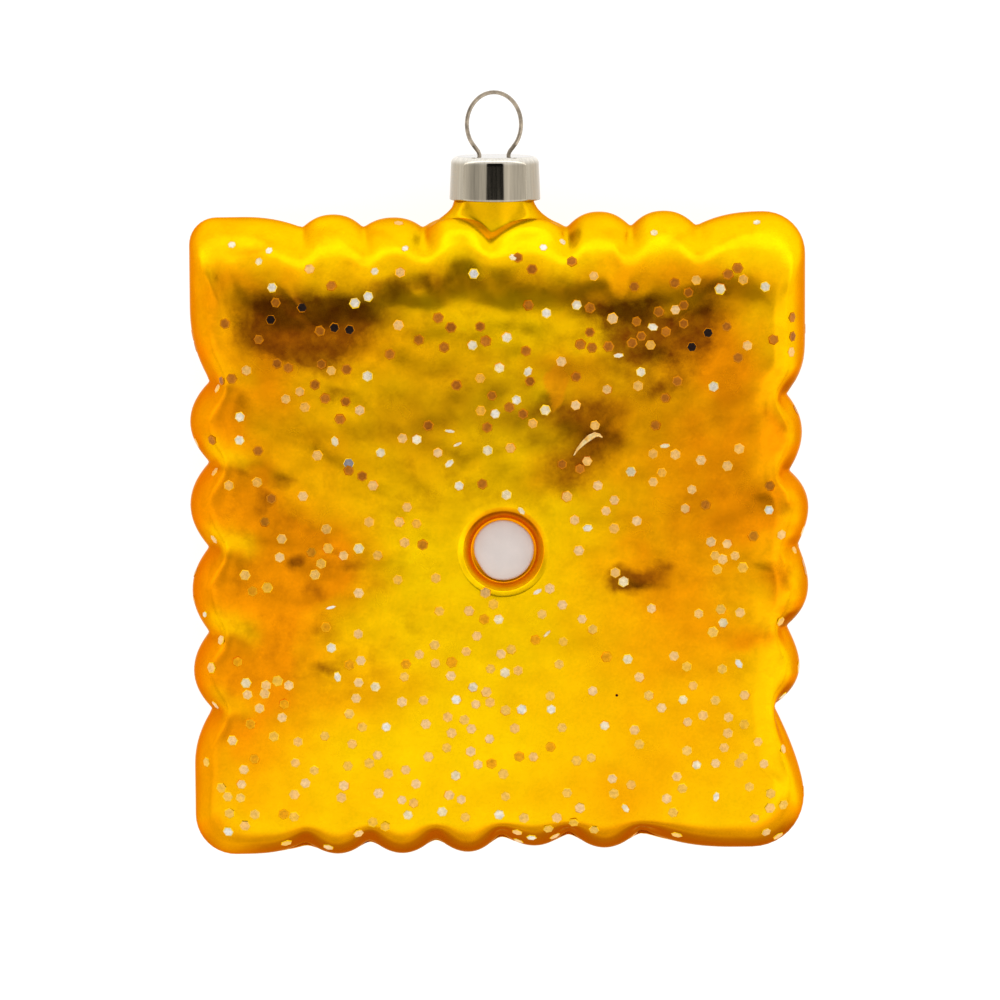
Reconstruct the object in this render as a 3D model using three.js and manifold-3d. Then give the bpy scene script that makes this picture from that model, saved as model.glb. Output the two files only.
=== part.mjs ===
// Hanging ornament of blown glass in the form of a square cheese cracker.
//
// A pillow of glass with a fluted, scalloped edge has one round dimple in the middle of each face,
// and a white enamel dot lies in each dimple. A short glass neck on the upper edge carries a
// pressed metal cap, and a ring of spring wire goes through two holes in the cap, with its feet
// bent outwards underneath so that it can't pull out.
//
// Millimetres. The ornament lies on its back as on a table: +Z is up and is the way the shown
// face looks, +Y points to the cap and the ring, +X to the right of the shown face. The origin is
// the middle of the footprint, at the level of the surface that the ornament lies on.

import * as THREE from "three";
import { ParametricGeometry } from "three/addons/geometries/ParametricGeometry.js";
import { mergeVertices } from "three/addons/utils/BufferGeometryUtils.js";
import Module from "manifold-3d";

// ---- driving dimensions -------------------------------------------------------------------

// Pillow: heights above and below the seam, the plane in which the two halves of the mould meet.
const SEAM_Z = 9.4; // the seam's height above the surface
const FRONT_RISE = 10.4; // seam to the middle of the front face
const BACK_RISE = SEAM_Z; // seam to the flat back
const CROWN_DROP = 1.9; // how much lower the front face is at its rim than in its middle
const CROWN_HALF = [41.5, 45]; // half width and half height that the crown is measured over
const CROWN_MIDDLE_Y = -3; // the face is highest here, above the dimple
const BACK_FLAT = 0.68; // share of those halves over which the back is truly flat
const BACK_DROP = 2.2; // how far the back has curved up at its rim

// Shoulder: the turn from the face to the edge.
const SHOULDER = 6.5; // its width, seen from the front
const SHOULDER_POWER = 0.9; // 1 is an ellipse, less is squarer
const SHOULDER_CORNER_R = 5.0; // corner radius of the face inside it
const FLUTE_FADE = 0.42; // share of the flutes' depth that is left where the shoulder meets the face

// Outline, counter-clockwise from the lower left. A corner is where two sides would meet.
const CORNERS = [
  { at: [-40.06, -50.49], r: 5.3 },
  { at: [40.19, -49.3], r: 6.9 },
  { at: [40.19, 34.65], r: 5.5 },
  { at: [-40.85, 33.73], r: 3.6 },
];

// Sides. notches are the pinches between the lobes: where along the side (x or y), and how deep.
// crests is how far each lobe's top stands out from the straight side. reach and power give the
// slope from the first and last notch into the corners.
const SIDES = [
  {
    name: "bottom",
    axis: 0,
    notches: [
      [-25.41, 1.57],
      [-17.09, 1.9],
      [-8.38, 1.97],
      [0.2, 2.38],
      [9.17, 2.64],
      [18.68, 2.59],
    ],
    crests: [0.15, 0.2, 0.17, -0.53, -0.13],
    reach: [7.9, 13.2],
    power: [2.6, 2.6],
  },
  {
    name: "right",
    axis: 1,
    notches: [
      [-30.56, 4.09],
      [-20.0, 2.38],
      [-9.31, 0.92],
      [0.46, 2.11],
      [10.63, 2.51],
    ],
    crests: [-0.66, 0.53, 0.53, -0.4],
    reach: [11.8, 7.3],
    power: [1.5, 2.6],
  },
  {
    name: "top",
    axis: 0,
    notches: [
      [25.81, 1.82],
      [17.23, 1.85],
      [8.78, 1.89],
      [-0.99, 1.5],
      [-10.1, 1.68],
      [-17.95, 1.58],
      [-25.94, 1.49],
    ],
    crests: [0.2, 0.17, -0.5, -0.26, -0.3, 0.2],
    reach: [9.2, 7.9],
    power: [2.6, 2.2],
  },
  {
    name: "left",
    axis: 1,
    notches: [
      [12.21, 2.57],
      [1.52, 2.4],
      [-9.7, 2.24],
      [-20.92, 2.13],
      [-31.09, 2.43],
    ],
    crests: [0.12, 0.22, 0.07, 0.0],
    reach: [9.9, 7.3],
    power: [2.2, 2.0],
  },
];
const LOBE_POWER = 2.1; // 2 is a round lobe, more is flatter with sharper notches
const LOBE_STEPS = 6; // columns per lobe
const SHOULDER_STEPS = 5; // rows over the shoulder
const FACE_ROWS = [0.14, 0.5]; // rows on the face, as shares of the way to its middle
const FLANK_STEPS = 6; // columns from a corner to the first notch
const CORNER_STEPS = 5; // columns round a corner

// Dimple in each face, and its enamel dot.
const DIMPLE_AT = [0.53, -9.45];
const DIMPLE_LIP_R = 6.4; // where the face starts to turn in
const DIMPLE_FLOOR_R = 4.5;
const DIMPLE_DEPTH = 2.6;
const DIMPLE_STEPS = 36;
const DOT_R = 4.03;
const DOT_THICK = 0.45;
const DOT_EDGE = 0.16; // height of the dot's rim
const CLEARANCE = 0.3; // between pieces that rest on each other

// Neck, a tube end that the cap is pressed on. Radii at distances along y.
const NECK_X = -0.7;
const NECK_R = 5.2;
const NECK_STEPS = 32;
const NECK_FLARE = [
  [0, 29.0],
  [8.6, 29.0],
  [8.5, 32.1],
  [7.4, 33.2],
  [6.45, 33.95],
  [5.75, 34.75],
  [5.4, 35.4],
  [NECK_R, 36.0],
  [NECK_R, 38.9],
  [NECK_R - 0.4, 39.3],
  [0, 39.3],
];

// Cap.
const CAP_X = -0.6;
const CAP_R = 6.0;
const CAP_TOP = 41.85;
const CAP_BOTTOM = 36.1;
const CAP_EDGE_R = 1.4; // rounding between its top and its side
const CAP_WALL = 0.38;
const CAP_STEPS = 32;

// Ring of spring wire, an ellipse that is open at the foot.
const RING_X = -0.73;
const RING_Y = 46.0;
const RING_HALF = [3.56, 4.22]; // to the middle of the wire
const WIRE_R = 0.27;
const LEG_X = 1.9; // each leg's distance from the ring's middle, where it goes through the cap
const HOLE_R = 0.58;
const FOOT_OUT = 2.3; // how far each foot is bent outwards under the cap
const WIRE_SIDES = 8;
const WIRE_STEPS = 64;

// ---- the pillow's outline -----------------------------------------------------------------

const V2 = (x, y) => new THREE.Vector2(x, y);
const lerp = THREE.MathUtils.lerp;
const clamp01 = (t) => THREE.MathUtils.clamp(t, 0, 1);

// The four sides as straight lines, moved inwards by inset, with the corners rounded.
function frameOf(inset, radii) {
  const p = CORNERS.map((c) => V2(...c.at));
  const lines = p.map((a, i) => {
    const b = p[(i + 1) % 4];
    const along = b.clone().sub(a).normalize();
    const out = V2(along.y, -along.x); // outwards, for a counter-clockwise outline
    return { from: a.clone().addScaledVector(out, -inset), along, out };
  });
  const meet = (m, n) => {
    const d = n.from.clone().sub(m.from);
    const s = (d.x * n.along.y - d.y * n.along.x) / (m.along.x * n.along.y - m.along.y * n.along.x);
    return m.from.clone().addScaledVector(m.along, s);
  };
  const q = lines.map((line, i) => meet(lines[(i + 3) % 4], line));
  return lines.map((line, i) => {
    const turn = (k) => {
      const a = lines[(k + 3) % 4].along;
      const b = lines[k].along;
      return Math.acos(THREE.MathUtils.clamp(a.dot(b), -1, 1));
    };
    const cut = (k) => radii[k] * Math.tan(turn(k) / 2);
    const a = q[i];
    const b = q[(i + 1) % 4];
    const length = a.distanceTo(b);
    // the corner at this side's start, from the last side's end to this side's start
    const before = lines[(i + 3) % 4];
    const middle = a
      .clone()
      .addScaledVector(before.along, -cut(i))
      .addScaledVector(before.out, -radii[i]);
    return {
      a,
      along: line.along,
      out: line.out,
      start: cut(i),
      end: length - cut((i + 1) % 4),
      corner: { middle, r: radii[i], from: before.out, turn: turn(i) },
    };
  });
}

// How far the edge stands out (+) or in (-) of its straight side at one place.
function scallop(side, place) {
  const n = side.notches;
  const order = Math.sign(n[1][0] - n[0][0]);
  const t = (place - n[0][0]) * order;
  const last = (n[n.length - 1][0] - n[0][0]) * order;
  const flank = (away, depth, reach, power) => -depth * Math.pow(1 - clamp01(away / reach), power);
  if (t <= 0) return flank(-t, n[0][1], side.reach[0], side.power[0]);
  if (t >= last) return flank(t - last, n[n.length - 1][1], side.reach[1], side.power[1]);
  let i = 0;
  while (i < n.length - 2 && (n[i + 1][0] - n[0][0]) * order <= t) i++;
  const f = (place - n[i][0]) / (n[i + 1][0] - n[i][0]);
  const edge = Math.pow(Math.abs(2 * f - 1), LOBE_POWER);
  return side.crests[i] * (1 - edge) - lerp(n[i][1], n[i + 1][1], f) * edge;
}

// The columns of the pillow: one place on the rim each, with the matching place on the face's rim.
function columns() {
  const outer = frameOf(0, CORNERS.map((c) => c.r));
  const inner = frameOf(SHOULDER, CORNERS.map(() => SHOULDER_CORNER_R));
  const made = [];
  outer.forEach((o, i) => {
    const n = inner[i];
    for (let k = 0; k < CORNER_STEPS; k++) {
      const f = k / CORNER_STEPS;
      const arc = ({ middle, r, from, turn }) =>
        middle.clone().addScaledVector(from.clone().rotateAround(V2(0, 0), turn * f), r);
      made.push({ rim: arc(o.corner), face: arc(n.corner), out: V2(0, 0), depth: 0 });
    }
    const side = SIDES[i];
    const where = side.notches.map(([place]) => (place - o.a.getComponent(side.axis)) / o.along.getComponent(side.axis));
    const stops = [o.start, ...where, o.end];
    stops.slice(0, -1).forEach((a, j) => {
      const b = stops[j + 1];
      const steps = j === 0 || j === stops.length - 2 ? FLANK_STEPS : LOBE_STEPS;
      for (let k = 0; k < steps; k++) {
        const along = lerp(a, b, k / steps);
        const rim = o.a.clone().addScaledVector(o.along, along);
        // between the first and the last notch a column runs straight inwards
        const foot = (s) => s - n.a.clone().sub(o.a).dot(o.along);
        let inner = foot(along);
        if (j === 0) inner = lerp(n.start, foot(b), k / steps);
        if (j === stops.length - 2) inner = lerp(foot(a), n.end, k / steps);
        const face = n.a.clone().addScaledVector(n.along, inner);
        made.push({ rim, face, out: o.out, depth: scallop(side, rim.getComponent(side.axis)) });
      }
    });
  });
  return made;
}

// ---- the pillow's heights -----------------------------------------------------------------

function fromMiddle(x, y) {
  const a = Math.abs(x / CROWN_HALF[0]);
  const b = Math.abs((y - CROWN_MIDDLE_Y) / CROWN_HALF[1]);
  return Math.pow(a ** 4 + b ** 4, 1 / 4);
}
const frontRise = (x, y) => FRONT_RISE - CROWN_DROP * fromMiddle(x, y) ** 3;
const backRise = (x, y) =>
  BACK_RISE - BACK_DROP * (Math.max(0, fromMiddle(x, y) - BACK_FLAT) / (1 - BACK_FLAT)) ** 2;

// Rows of one half, from the rim over the shoulder to the face's middle: functions of a column.
function rowsOf(rise, sign) {
  const rows = [];
  for (let k = 0; k <= SHOULDER_STEPS; k++) {
    const t = k / SHOULDER_STEPS;
    const angle = (t * Math.PI) / 2;
    const inwards = 1 - Math.pow(Math.cos(angle), SHOULDER_POWER);
    const up = Math.pow(Math.sin(angle), SHOULDER_POWER);
    rows.push((c) => {
      const p = c.rim.clone().lerp(c.face, inwards).addScaledVector(c.out, c.depth * lerp(1, FLUTE_FADE, t * t));
      return [p.x, p.y, SEAM_Z + sign * rise(p.x, p.y) * up];
    });
  }
  const middle = V2(...DIMPLE_AT);
  for (const u of [...FACE_ROWS, 1]) {
    rows.push((c) => {
      const p = c.face.clone().addScaledVector(c.out, c.depth * FLUTE_FADE * (1 - u) ** 2).lerp(middle, u);
      return [p.x, p.y, SEAM_Z + sign * rise(p.x, p.y)];
    });
  }
  return rows;
}

// What a dimple takes out of the front face: a dish with a rounded foot and a flared lip.
function dish() {
  const top = SEAM_Z + frontRise(...DIMPLE_AT);
  const floor = top - DIMPLE_DEPTH;
  const wall = DIMPLE_LIP_R - DIMPLE_FLOOR_R;
  const profile = [V2(0, floor)];
  for (const f of [0, 0.3, 0.5, 0.72, 1, 1.25]) {
    const down = Math.min(1, f);
    profile.push(V2(DIMPLE_FLOOR_R + wall * f, lerp(floor, top, (1 - Math.cos(down * Math.PI)) / 2) + (f > 0.9 ? (f - 0.9) * 1.6 : 0)));
  }
  profile.push(V2(0, profile[profile.length - 1].y));
  const g = new THREE.LatheGeometry(profile, DIMPLE_STEPS).rotateX(Math.PI / 2);
  return g.translate(...DIMPLE_AT, 0);
}

// The pillow before its dimples: u goes round the outline, v from the back's middle to the front's.
function pillow() {
  const cols = columns();
  const rows = [...rowsOf(backRise, -1).reverse(), ...rowsOf(frontRise, 1).slice(1)];
  const surface = (u, v, target) => {
    const column = cols[Math.round(u * cols.length) % cols.length];
    target.set(...rows[Math.round(v * (rows.length - 1))](column));
  };
  return new ParametricGeometry(surface, cols.length, rows.length - 1);
}

// ---- joining and cutting ------------------------------------------------------------------

const wasm = await Module();
wasm.setup();

function solid(geometry) {
  const g = geometry.clone();
  g.deleteAttribute("normal");
  g.deleteAttribute("uv");
  const m = mergeVertices(g, 1e-4);
  return new wasm.Manifold(
    new wasm.Mesh({
      numProp: 3,
      vertProperties: new Float32Array(m.attributes.position.array),
      triVerts: new Uint32Array(m.index.array),
    }),
  );
}

function geometryOf(manifold) {
  const m = manifold.getMesh();
  const g = new THREE.BufferGeometry();
  g.setAttribute("position", new THREE.BufferAttribute(new Float32Array(m.vertProperties), 3));
  g.setIndex(new THREE.BufferAttribute(new Uint32Array(m.triVerts), 1));
  g.computeVertexNormals();
  return g;
}

// ---- the pieces ---------------------------------------------------------------------------

function glassBody() {
  const neck = new THREE.LatheGeometry(NECK_FLARE.map(([r, y]) => V2(r, y)), NECK_STEPS);
  neck.translate(NECK_X, 0, SEAM_Z);
  const front = dish();
  const lift = SEAM_Z + frontRise(...DIMPLE_AT);
  // the back's dimple is the front's, turned over about the line through both middles
  const back = dish().translate(0, 0, -lift).rotateX(Math.PI).translate(0, 2 * DIMPLE_AT[1], 0);
  return geometryOf(solid(pillow()).add(solid(neck)).subtract(solid(front)).subtract(solid(back)));
}

// The enamel dot: a low dome that fills the dimple's floor.
function dot() {
  const profile = [V2(0, 0), V2(DOT_R - 0.1, 0), V2(DOT_R, DOT_EDGE / 2)];
  for (let k = 0; k <= 4; k++) {
    const a = (k / 4) * (Math.PI / 2);
    profile.push(V2((DOT_R - 0.12) * Math.cos(a), DOT_EDGE + (DOT_THICK - DOT_EDGE) * Math.sin(a)));
  }
  profile[profile.length - 1].x = 0;
  return new THREE.LatheGeometry(profile, 28).rotateX(Math.PI / 2);
}

function cap() {
  const shell = [V2(0, CAP_TOP - CAP_WALL)];
  const arc = (r, x0, y0, from, to, n) => {
    for (let k = 0; k <= n; k++) {
      const a = lerp(from, to, k / n);
      shell.push(V2(x0 + r * Math.cos(a), y0 + r * Math.sin(a)));
    }
  };
  const cx = CAP_R - CAP_EDGE_R;
  const cy = CAP_TOP - CAP_EDGE_R;
  arc(CAP_EDGE_R - CAP_WALL, cx, cy, Math.PI / 2, 0, 3);
  shell.push(V2(CAP_R - CAP_WALL, CAP_BOTTOM + 0.1));
  shell.push(V2(CAP_R - 0.2, CAP_BOTTOM));
  shell.push(V2(CAP_R - 0.05, CAP_BOTTOM + 0.05));
  shell.push(V2(CAP_R, CAP_BOTTOM + 0.2));
  arc(CAP_EDGE_R, cx, cy, 0, Math.PI / 2, 4);
  shell.push(V2(0, CAP_TOP));
  const body = new THREE.LatheGeometry(shell, CAP_STEPS).translate(CAP_X, 0, SEAM_Z);
  let made = solid(body);
  for (const side of [-1, 1]) {
    const drill = new THREE.CylinderGeometry(HOLE_R, HOLE_R, 3, 16).translate(
      RING_X + side * LEG_X,
      CAP_TOP,
      SEAM_Z,
    );
    made = made.subtract(solid(drill));
  }
  return geometryOf(made);
}

// The wire's middle line: up through one hole, round the ring, down through the other.
class WireLine extends THREE.Curve {
  constructor() {
    super();
    const [a, b] = RING_HALF;
    const half = [];
    const foot = CAP_TOP - CAP_WALL - CLEARANCE - WIRE_R;
    half.push([LEG_X + FOOT_OUT, foot - 0.55]);
    half.push([LEG_X + FOOT_OUT * 0.55, foot - 0.32]);
    half.push([LEG_X + 0.5, foot - 0.3]);
    half.push([LEG_X + 0.02, foot + 0.2]);
    half.push([LEG_X, CAP_TOP - CAP_WALL / 2]);
    half.push([LEG_X + 0.08, CAP_TOP + 0.42]);
    const low = Math.asin(-(RING_Y - CAP_TOP - 1.05) / b);
    for (let k = 0; k <= 9; k++) {
      const w = lerp(low, Math.PI / 2, k / 9);
      half.push([a * Math.cos(w), RING_Y + b * Math.sin(w)]);
    }
    const right = half.map(([x, y]) => new THREE.Vector3(RING_X + x, y, SEAM_Z));
    const left = half.slice(0, -1).reverse().map(([x, y]) => new THREE.Vector3(RING_X - x, y, SEAM_Z));
    this.line = new THREE.CatmullRomCurve3([...right, ...left], false, "centripetal");
  }
  getPoint(t, target = new THREE.Vector3()) {
    return this.line.getPointAt(t, target);
  }
}

function ring() {
  const round = [];
  for (let k = 0; k < WIRE_SIDES; k++) {
    const a = (2 * Math.PI * k) / WIRE_SIDES;
    round.push(V2(WIRE_R * Math.cos(a), WIRE_R * Math.sin(a)));
  }
  return new THREE.ExtrudeGeometry(new THREE.Shape(round), {
    steps: WIRE_STEPS,
    bevelEnabled: false,
    extrudePath: new WireLine(),
  });
}

// ---- the ornament -------------------------------------------------------------------------

const lacquer = new THREE.MeshStandardMaterial({ name: "lacquer", color: 0xf2b705, roughness: 0.35, metalness: 0.9 });
const enamel = new THREE.MeshStandardMaterial({ name: "enamel", color: 0xe6dfdc, roughness: 0.3, metalness: 0 });
const nickel = new THREE.MeshStandardMaterial({ name: "nickel", color: 0xc9c4bb, roughness: 0.15, metalness: 1 });

function piece(name, geometry, material) {
  const mesh = new THREE.Mesh(geometry, material);
  mesh.name = name;
  return mesh;
}

const ornament = new THREE.Group();
ornament.add(piece("glass_body", glassBody(), lacquer));

const dots = new THREE.Group();
const front = piece("dot_front", dot(), enamel);
front.position.set(...DIMPLE_AT, SEAM_Z + frontRise(...DIMPLE_AT) - DIMPLE_DEPTH + CLEARANCE);
const back = piece("dot_back", dot(), enamel);
back.rotation.x = Math.PI;
back.position.set(...DIMPLE_AT, DIMPLE_DEPTH - CLEARANCE);
dots.add(front, back);
ornament.add(dots);

const hanger = new THREE.Group();
hanger.add(piece("cap", cap(), nickel), piece("ring", ring(), nickel));
ornament.add(hanger);

// The outline is given about a point near its middle: bring the footprint's middle to the origin.
const reach = new THREE.Box3().setFromObject(ornament, true);
const middle = reach.getCenter(new THREE.Vector3()).setZ(reach.min.z);
for (const child of ornament.children) child.position.sub(middle);

export default ornament;
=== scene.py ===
"""A silvered glass ornament in the form of a square cheese cracker, lying on its back on a pale floor.

Sizes in this script are millimetres in the object's own frame (+Z up, +Y to the cap) until a mesh
is made, which is in metres. Places on the shown face are given as (u, v): u runs to the right and v
down, in units of 0.132 mm, as seen by the camera.
"""

import math

import bpy
import numpy as np
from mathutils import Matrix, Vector, noise
from mathutils.bvhtree import BVHTree


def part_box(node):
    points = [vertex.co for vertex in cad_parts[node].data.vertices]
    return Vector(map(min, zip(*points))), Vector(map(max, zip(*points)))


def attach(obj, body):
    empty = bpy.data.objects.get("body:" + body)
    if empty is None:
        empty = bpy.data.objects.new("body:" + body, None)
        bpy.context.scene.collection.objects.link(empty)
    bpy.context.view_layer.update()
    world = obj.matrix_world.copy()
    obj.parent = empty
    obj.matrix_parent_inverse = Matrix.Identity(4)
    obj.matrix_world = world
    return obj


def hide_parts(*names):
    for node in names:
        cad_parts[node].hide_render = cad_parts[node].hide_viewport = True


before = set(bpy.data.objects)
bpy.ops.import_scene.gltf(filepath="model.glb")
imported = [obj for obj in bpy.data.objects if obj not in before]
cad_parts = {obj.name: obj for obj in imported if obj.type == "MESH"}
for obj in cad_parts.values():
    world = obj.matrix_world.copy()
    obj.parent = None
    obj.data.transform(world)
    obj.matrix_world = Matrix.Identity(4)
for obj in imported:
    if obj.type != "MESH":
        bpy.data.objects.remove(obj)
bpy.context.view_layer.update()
scene = bpy.context.scene

# ---- sizes --------------------------------------------------------------------------------

UNIT = 0.132
SHIFT = np.array([0.0481, -0.0395])  # from the outline's own origin to the footprint's middle
SEAM_Z = 9.4
FRONT_RISE = 10.2
BACK_RISE = 9.4
CROWN_DROP = 1.9
CROWN_HALF = (41.5, 45.0)
CROWN_MIDDLE_Y = 11.0
BACK_FLAT = 0.62
BACK_DROP = 2.2
SHOULDERS = np.array([4.5, 4.7, 8.4, 5.8])  # how wide: bottom, right, top, left
FLUTES_REACH = np.array([4.8, 5.2, 7.0, 6.0])  # how far in the notches run
FLUTES_FALL = np.array([0.92, 0.86, 0.58, 0.90])  # by what share they get shallower on that way
TOP_WIDER = [(-26.0, 4.5, 2.4), (-19.5, 3.5, 1.2), (22.0, 4.8, 1.9), (-4.6, 3.0, -1.8), (-9.0, 2.5, 0.7), (3.5, 3.5, 0.9)]  # place, half width, by how much
TOP_ENDS = (0.8, 2.5)  # the same at its right and left end
TOP_SLOPE = 18.5  # degrees, with which the upper shoulder meets the face
SHOULDER_POWER = 0.92
SHOULDER_CORNER_R = 5.0

CORNERS = [(-40.06, -50.49), (40.19, -49.3), (40.19, 34.65), (-40.85, 33.73)]
CORNER_R = [5.3, 6.9, 5.5, 3.6]
SIDES = [
    # axis, notches (place, depth), crests, reach, power
    (0, [(-25.41, 1.57), (-17.09, 1.9), (-8.38, 1.97), (0.2, 2.38), (9.17, 2.64), (18.68, 2.59)],
     [0.15, 0.2, 0.17, -0.53, -0.13], (7.9, 13.2), (2.6, 2.6)),
    (1, [(-30.56, 4.09), (-20.0, 2.38), (-9.31, 0.92), (0.46, 2.11), (10.63, 2.51)],
     [-0.66, 0.5, 0.5, -0.4], (11.8, 7.3), (1.5, 2.6)),
    (0, [(25.81, 1.82), (17.23, 1.85), (8.78, 1.89), (-0.99, 1.2), (-10.1, 1.68), (-17.95, 1.58), (-25.94, 1.49)],
     [0.2, 0.17, -0.5, -0.26, -0.3, 0.2], (9.2, 7.9), (2.6, 2.2)),
    (1, [(12.21, 2.57), (1.52, 2.4), (-9.7, 2.24), (-20.92, 2.13), (-31.09, 2.43)],
     [0.12, 0.22, 0.07, 0.0], (9.9, 7.3), (2.2, 2.0)),
]
SHARPNESS = [2.0, 2.0, 2.3, 2.0]  # of each side's notches: a higher power is sharper
RIM_BLUR = [0.5, 0.2, 0.22, 0.2]  # how round each side's notches are at the rim

DIMPLE = np.array([0.53, -9.45]) + SHIFT
DIMPLE_LIP_R = 6.05
DIMPLE_FLOOR_R = 4.15
WALL_SLOPES = [(0.0, 0.0), (0.16, 0.36), (0.70, 0.55), (1.05, 1.9), (1.60, 2.1), (1.90, 0.0)]  # way inwards, slope
DIMPLE_DEPTH = 2.3
DOT_R = 3.95

NECK_X = -0.75 + SHIFT[0]
NECK_R = 5.12
CAP_X = -0.6 + SHIFT[0]
CAP_TOP = 41.85 + SHIFT[1]
CAP_BOTTOM = 36.1 + SHIFT[1]

rng = np.random.default_rng(282)


def smooth(a, b, x):
    t = np.clip((np.asarray(x, float) - a) / (b - a), 0, 1)
    return t * t * (3 - 2 * t)


def gauss(x, s):
    return np.exp(-0.5 * (np.asarray(x, float) / s) ** 2)


def seen(p):
    """(u, v) of points of the front half, as the camera sees them from 5 degrees towards +Y."""
    u = (p[..., 0] - SHIFT[0]) / UNIT + 499.5
    v = 472.5 - (p[..., 1] - SHIFT[1] - (p[..., 2] - SEAM_Z) * 0.087) / UNIT
    return u, v


def face_xy(u, v, z=18.6):
    """Where on the front face a place (u, v) lies."""
    return (u - 499.5) * UNIT + SHIFT[0], (472.5 - v) * UNIT + SHIFT[1] + (z - SEAM_Z) * 0.087


# ---- the pillow's outline -----------------------------------------------------------------


def frame_of(insets, radii):
    p = np.array(CORNERS)
    q = np.roll(p, -1, axis=0)
    along = (q - p) / np.linalg.norm(q - p, axis=1)[:, None]
    out = np.stack([along[:, 1], -along[:, 0]], 1)
    start = p - out * insets[:, None]

    def meet(i, j):
        d = start[j] - start[i]
        s = (d[0] * along[j][1] - d[1] * along[j][0]) / (along[i][0] * along[j][1] - along[i][1] * along[j][0])
        return start[i] + along[i] * s

    c = np.array([meet((i + 3) % 4, i) for i in range(4)])
    turn = np.array([math.acos(np.clip(along[(i + 3) % 4] @ along[i], -1, 1)) for i in range(4)])
    cut = radii * np.tan(turn / 2)
    made = []
    for i in range(4):
        b = (i + 3) % 4
        made.append(dict(
            a=c[i], along=along[i], out=out[i], start=cut[i],
            end=np.linalg.norm(c[(i + 1) % 4] - c[i]) - cut[(i + 1) % 4],
            middle=c[i] - along[b] * cut[i] - out[b] * radii[i], r=radii[i], before=out[b], turn=turn[i]))
    return made


def scallop(side, place, sharp):
    """How far the edge stands out of its straight side, and how near a notch the place is (1 at a notch)."""
    _, n, crests, reach, power = side
    order = math.copysign(1, n[1][0] - n[0][0])
    t, last = (place - n[0][0]) * order, (n[-1][0] - n[0][0]) * order

    def flank(away, depth, r, p):
        k = max(0.0, 1 - away / r) ** p
        return -depth * k, k

    if t <= 0:
        return flank(-t, n[0][1], reach[0], power[0])
    if t >= last:
        return flank(t - last, n[-1][1], reach[1], power[1])
    i = 0
    while i < len(n) - 2 and (n[i + 1][0] - n[0][0]) * order <= t:
        i += 1
    f = (place - n[i][0]) / (n[i + 1][0] - n[i][0])
    e = abs(2 * f - 1) ** sharp
    return crests[i] * (1 - e) - (n[i][1] * (1 - f) + n[i + 1][1] * f) * e, e


def softened(side, place, sharp, sigma):
    """The same, averaged over a stretch of the side: the notches turn into soft valleys."""
    at = np.linspace(-2.2, 2.2, 13)
    w = np.exp(-0.5 * at * at)
    return (w / w.sum()) @ np.array([scallop(side, place + k * sigma, sharp) for k in at])


def columns(lobe, flank, corner):
    """Places round the rim, each with its place on the face's edge, the flutes' depth there and the end slope.

    The depth is given four times, for the rim and for three stages on the way inwards, each softer.
    The end slope, in degrees, is the one that the shoulder still has where it meets the face.
    """
    outer = frame_of(np.zeros(4), np.array(CORNER_R))
    inner = frame_of(SHOULDERS, np.full(4, SHOULDER_CORNER_R))
    rim, face, out, depth, pinch, slope = [], [], [], [], [], []
    nothing = np.zeros(4)
    corner_slope = (lambda f: 0, lambda f: 0, lambda f: smooth(0, 0.5, f), lambda f: smooth(1, 0.5, f))

    def arc(o, f):
        a = o["turn"] * f
        c, s = math.cos(a), math.sin(a)
        d = np.array([c * o["before"][0] - s * o["before"][1], s * o["before"][0] + c * o["before"][1]])
        return o["middle"] + d * o["r"], d

    for i in range(4):
        o, n, side = outer[i], inner[i], SIDES[i]
        for k in range(corner):
            p, d = arc(o, k / corner)
            q = arc(n, k / corner)[0]
            if i == 2:
                q = q - outer[2]["out"] * TOP_ENDS[0] * smooth(0.2, 1, k / corner)
            elif i == 3:
                q = q - outer[2]["out"] * TOP_ENDS[1] * smooth(0.8, 0, k / corner)
            rim.append(p); face.append(q); out.append(d)
            depth.append(nothing); pinch.append(nothing); slope.append(TOP_SLOPE * corner_slope[i](k / corner))
        where = [(place - o["a"][side[0]]) / o["along"][side[0]] for place, _ in side[1]]
        stops = [o["start"], *where, o["end"]]
        back = (n["a"] - o["a"]) @ o["along"]
        for j in range(len(stops) - 1):
            ends = j in (0, len(stops) - 2)
            steps = flank if ends else lobe
            for k in range(steps):
                t = k / steps
                if not ends:  # columns gather at the notches
                    t = t - 0.35 * math.sin(2 * math.pi * t) / (2 * math.pi)
                s = stops[j] + (stops[j + 1] - stops[j]) * t
                p = o["a"] + o["along"] * s
                q = s - back  # straight inwards, but for the first and the last stretch
                if j == 0:
                    q = n["start"] + (stops[1] - back - n["start"]) * t
                elif ends:
                    q = stops[j] - back + (n["end"] - stops[j] + back) * t
                soft = [softened(side, p[side[0]], SHARPNESS[i], w) for w in (RIM_BLUR[i], 0.45, 0.7, 1.0)]
                inside = n["a"] + n["along"] * q
                if i == 2:
                    fade = smooth(0, 0.8, t) if j == 0 else smooth(1, 0.2, t) if ends else 1
                    wider = sum(much * gauss(p[0] - at, w) for at, w, much in TOP_WIDER)
                    inside = inside - o["out"] * (fade * wider + (1 - fade) * TOP_ENDS[0 if j == 0 else 1])
                rim.append(p); face.append(inside); out.append(o["out"])
                depth.append([a for a, _ in soft]); pinch.append([b for _, b in soft])
                slope.append(TOP_SLOPE * (1 - 0.85 * gauss(p[0] + 4.0, 4.6)) if i == 2 else 0)
    return tuple(map(np.array, (rim, face, out, depth, pinch, slope)))


def staged(values, stage):
    """One of the four stages of each column's values, or between two of them."""
    i = min(2, int(stage))
    return values[:, i] * (1 - (stage - i)) + values[:, i + 1] * (stage - i)


# ---- the pillow's heights -----------------------------------------------------------------


def from_middle(x, y):
    return ((np.abs(x) / CROWN_HALF[0]) ** 4 + (np.abs(y - CROWN_MIDDLE_Y) / CROWN_HALF[1]) ** 4) ** 0.25


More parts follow.
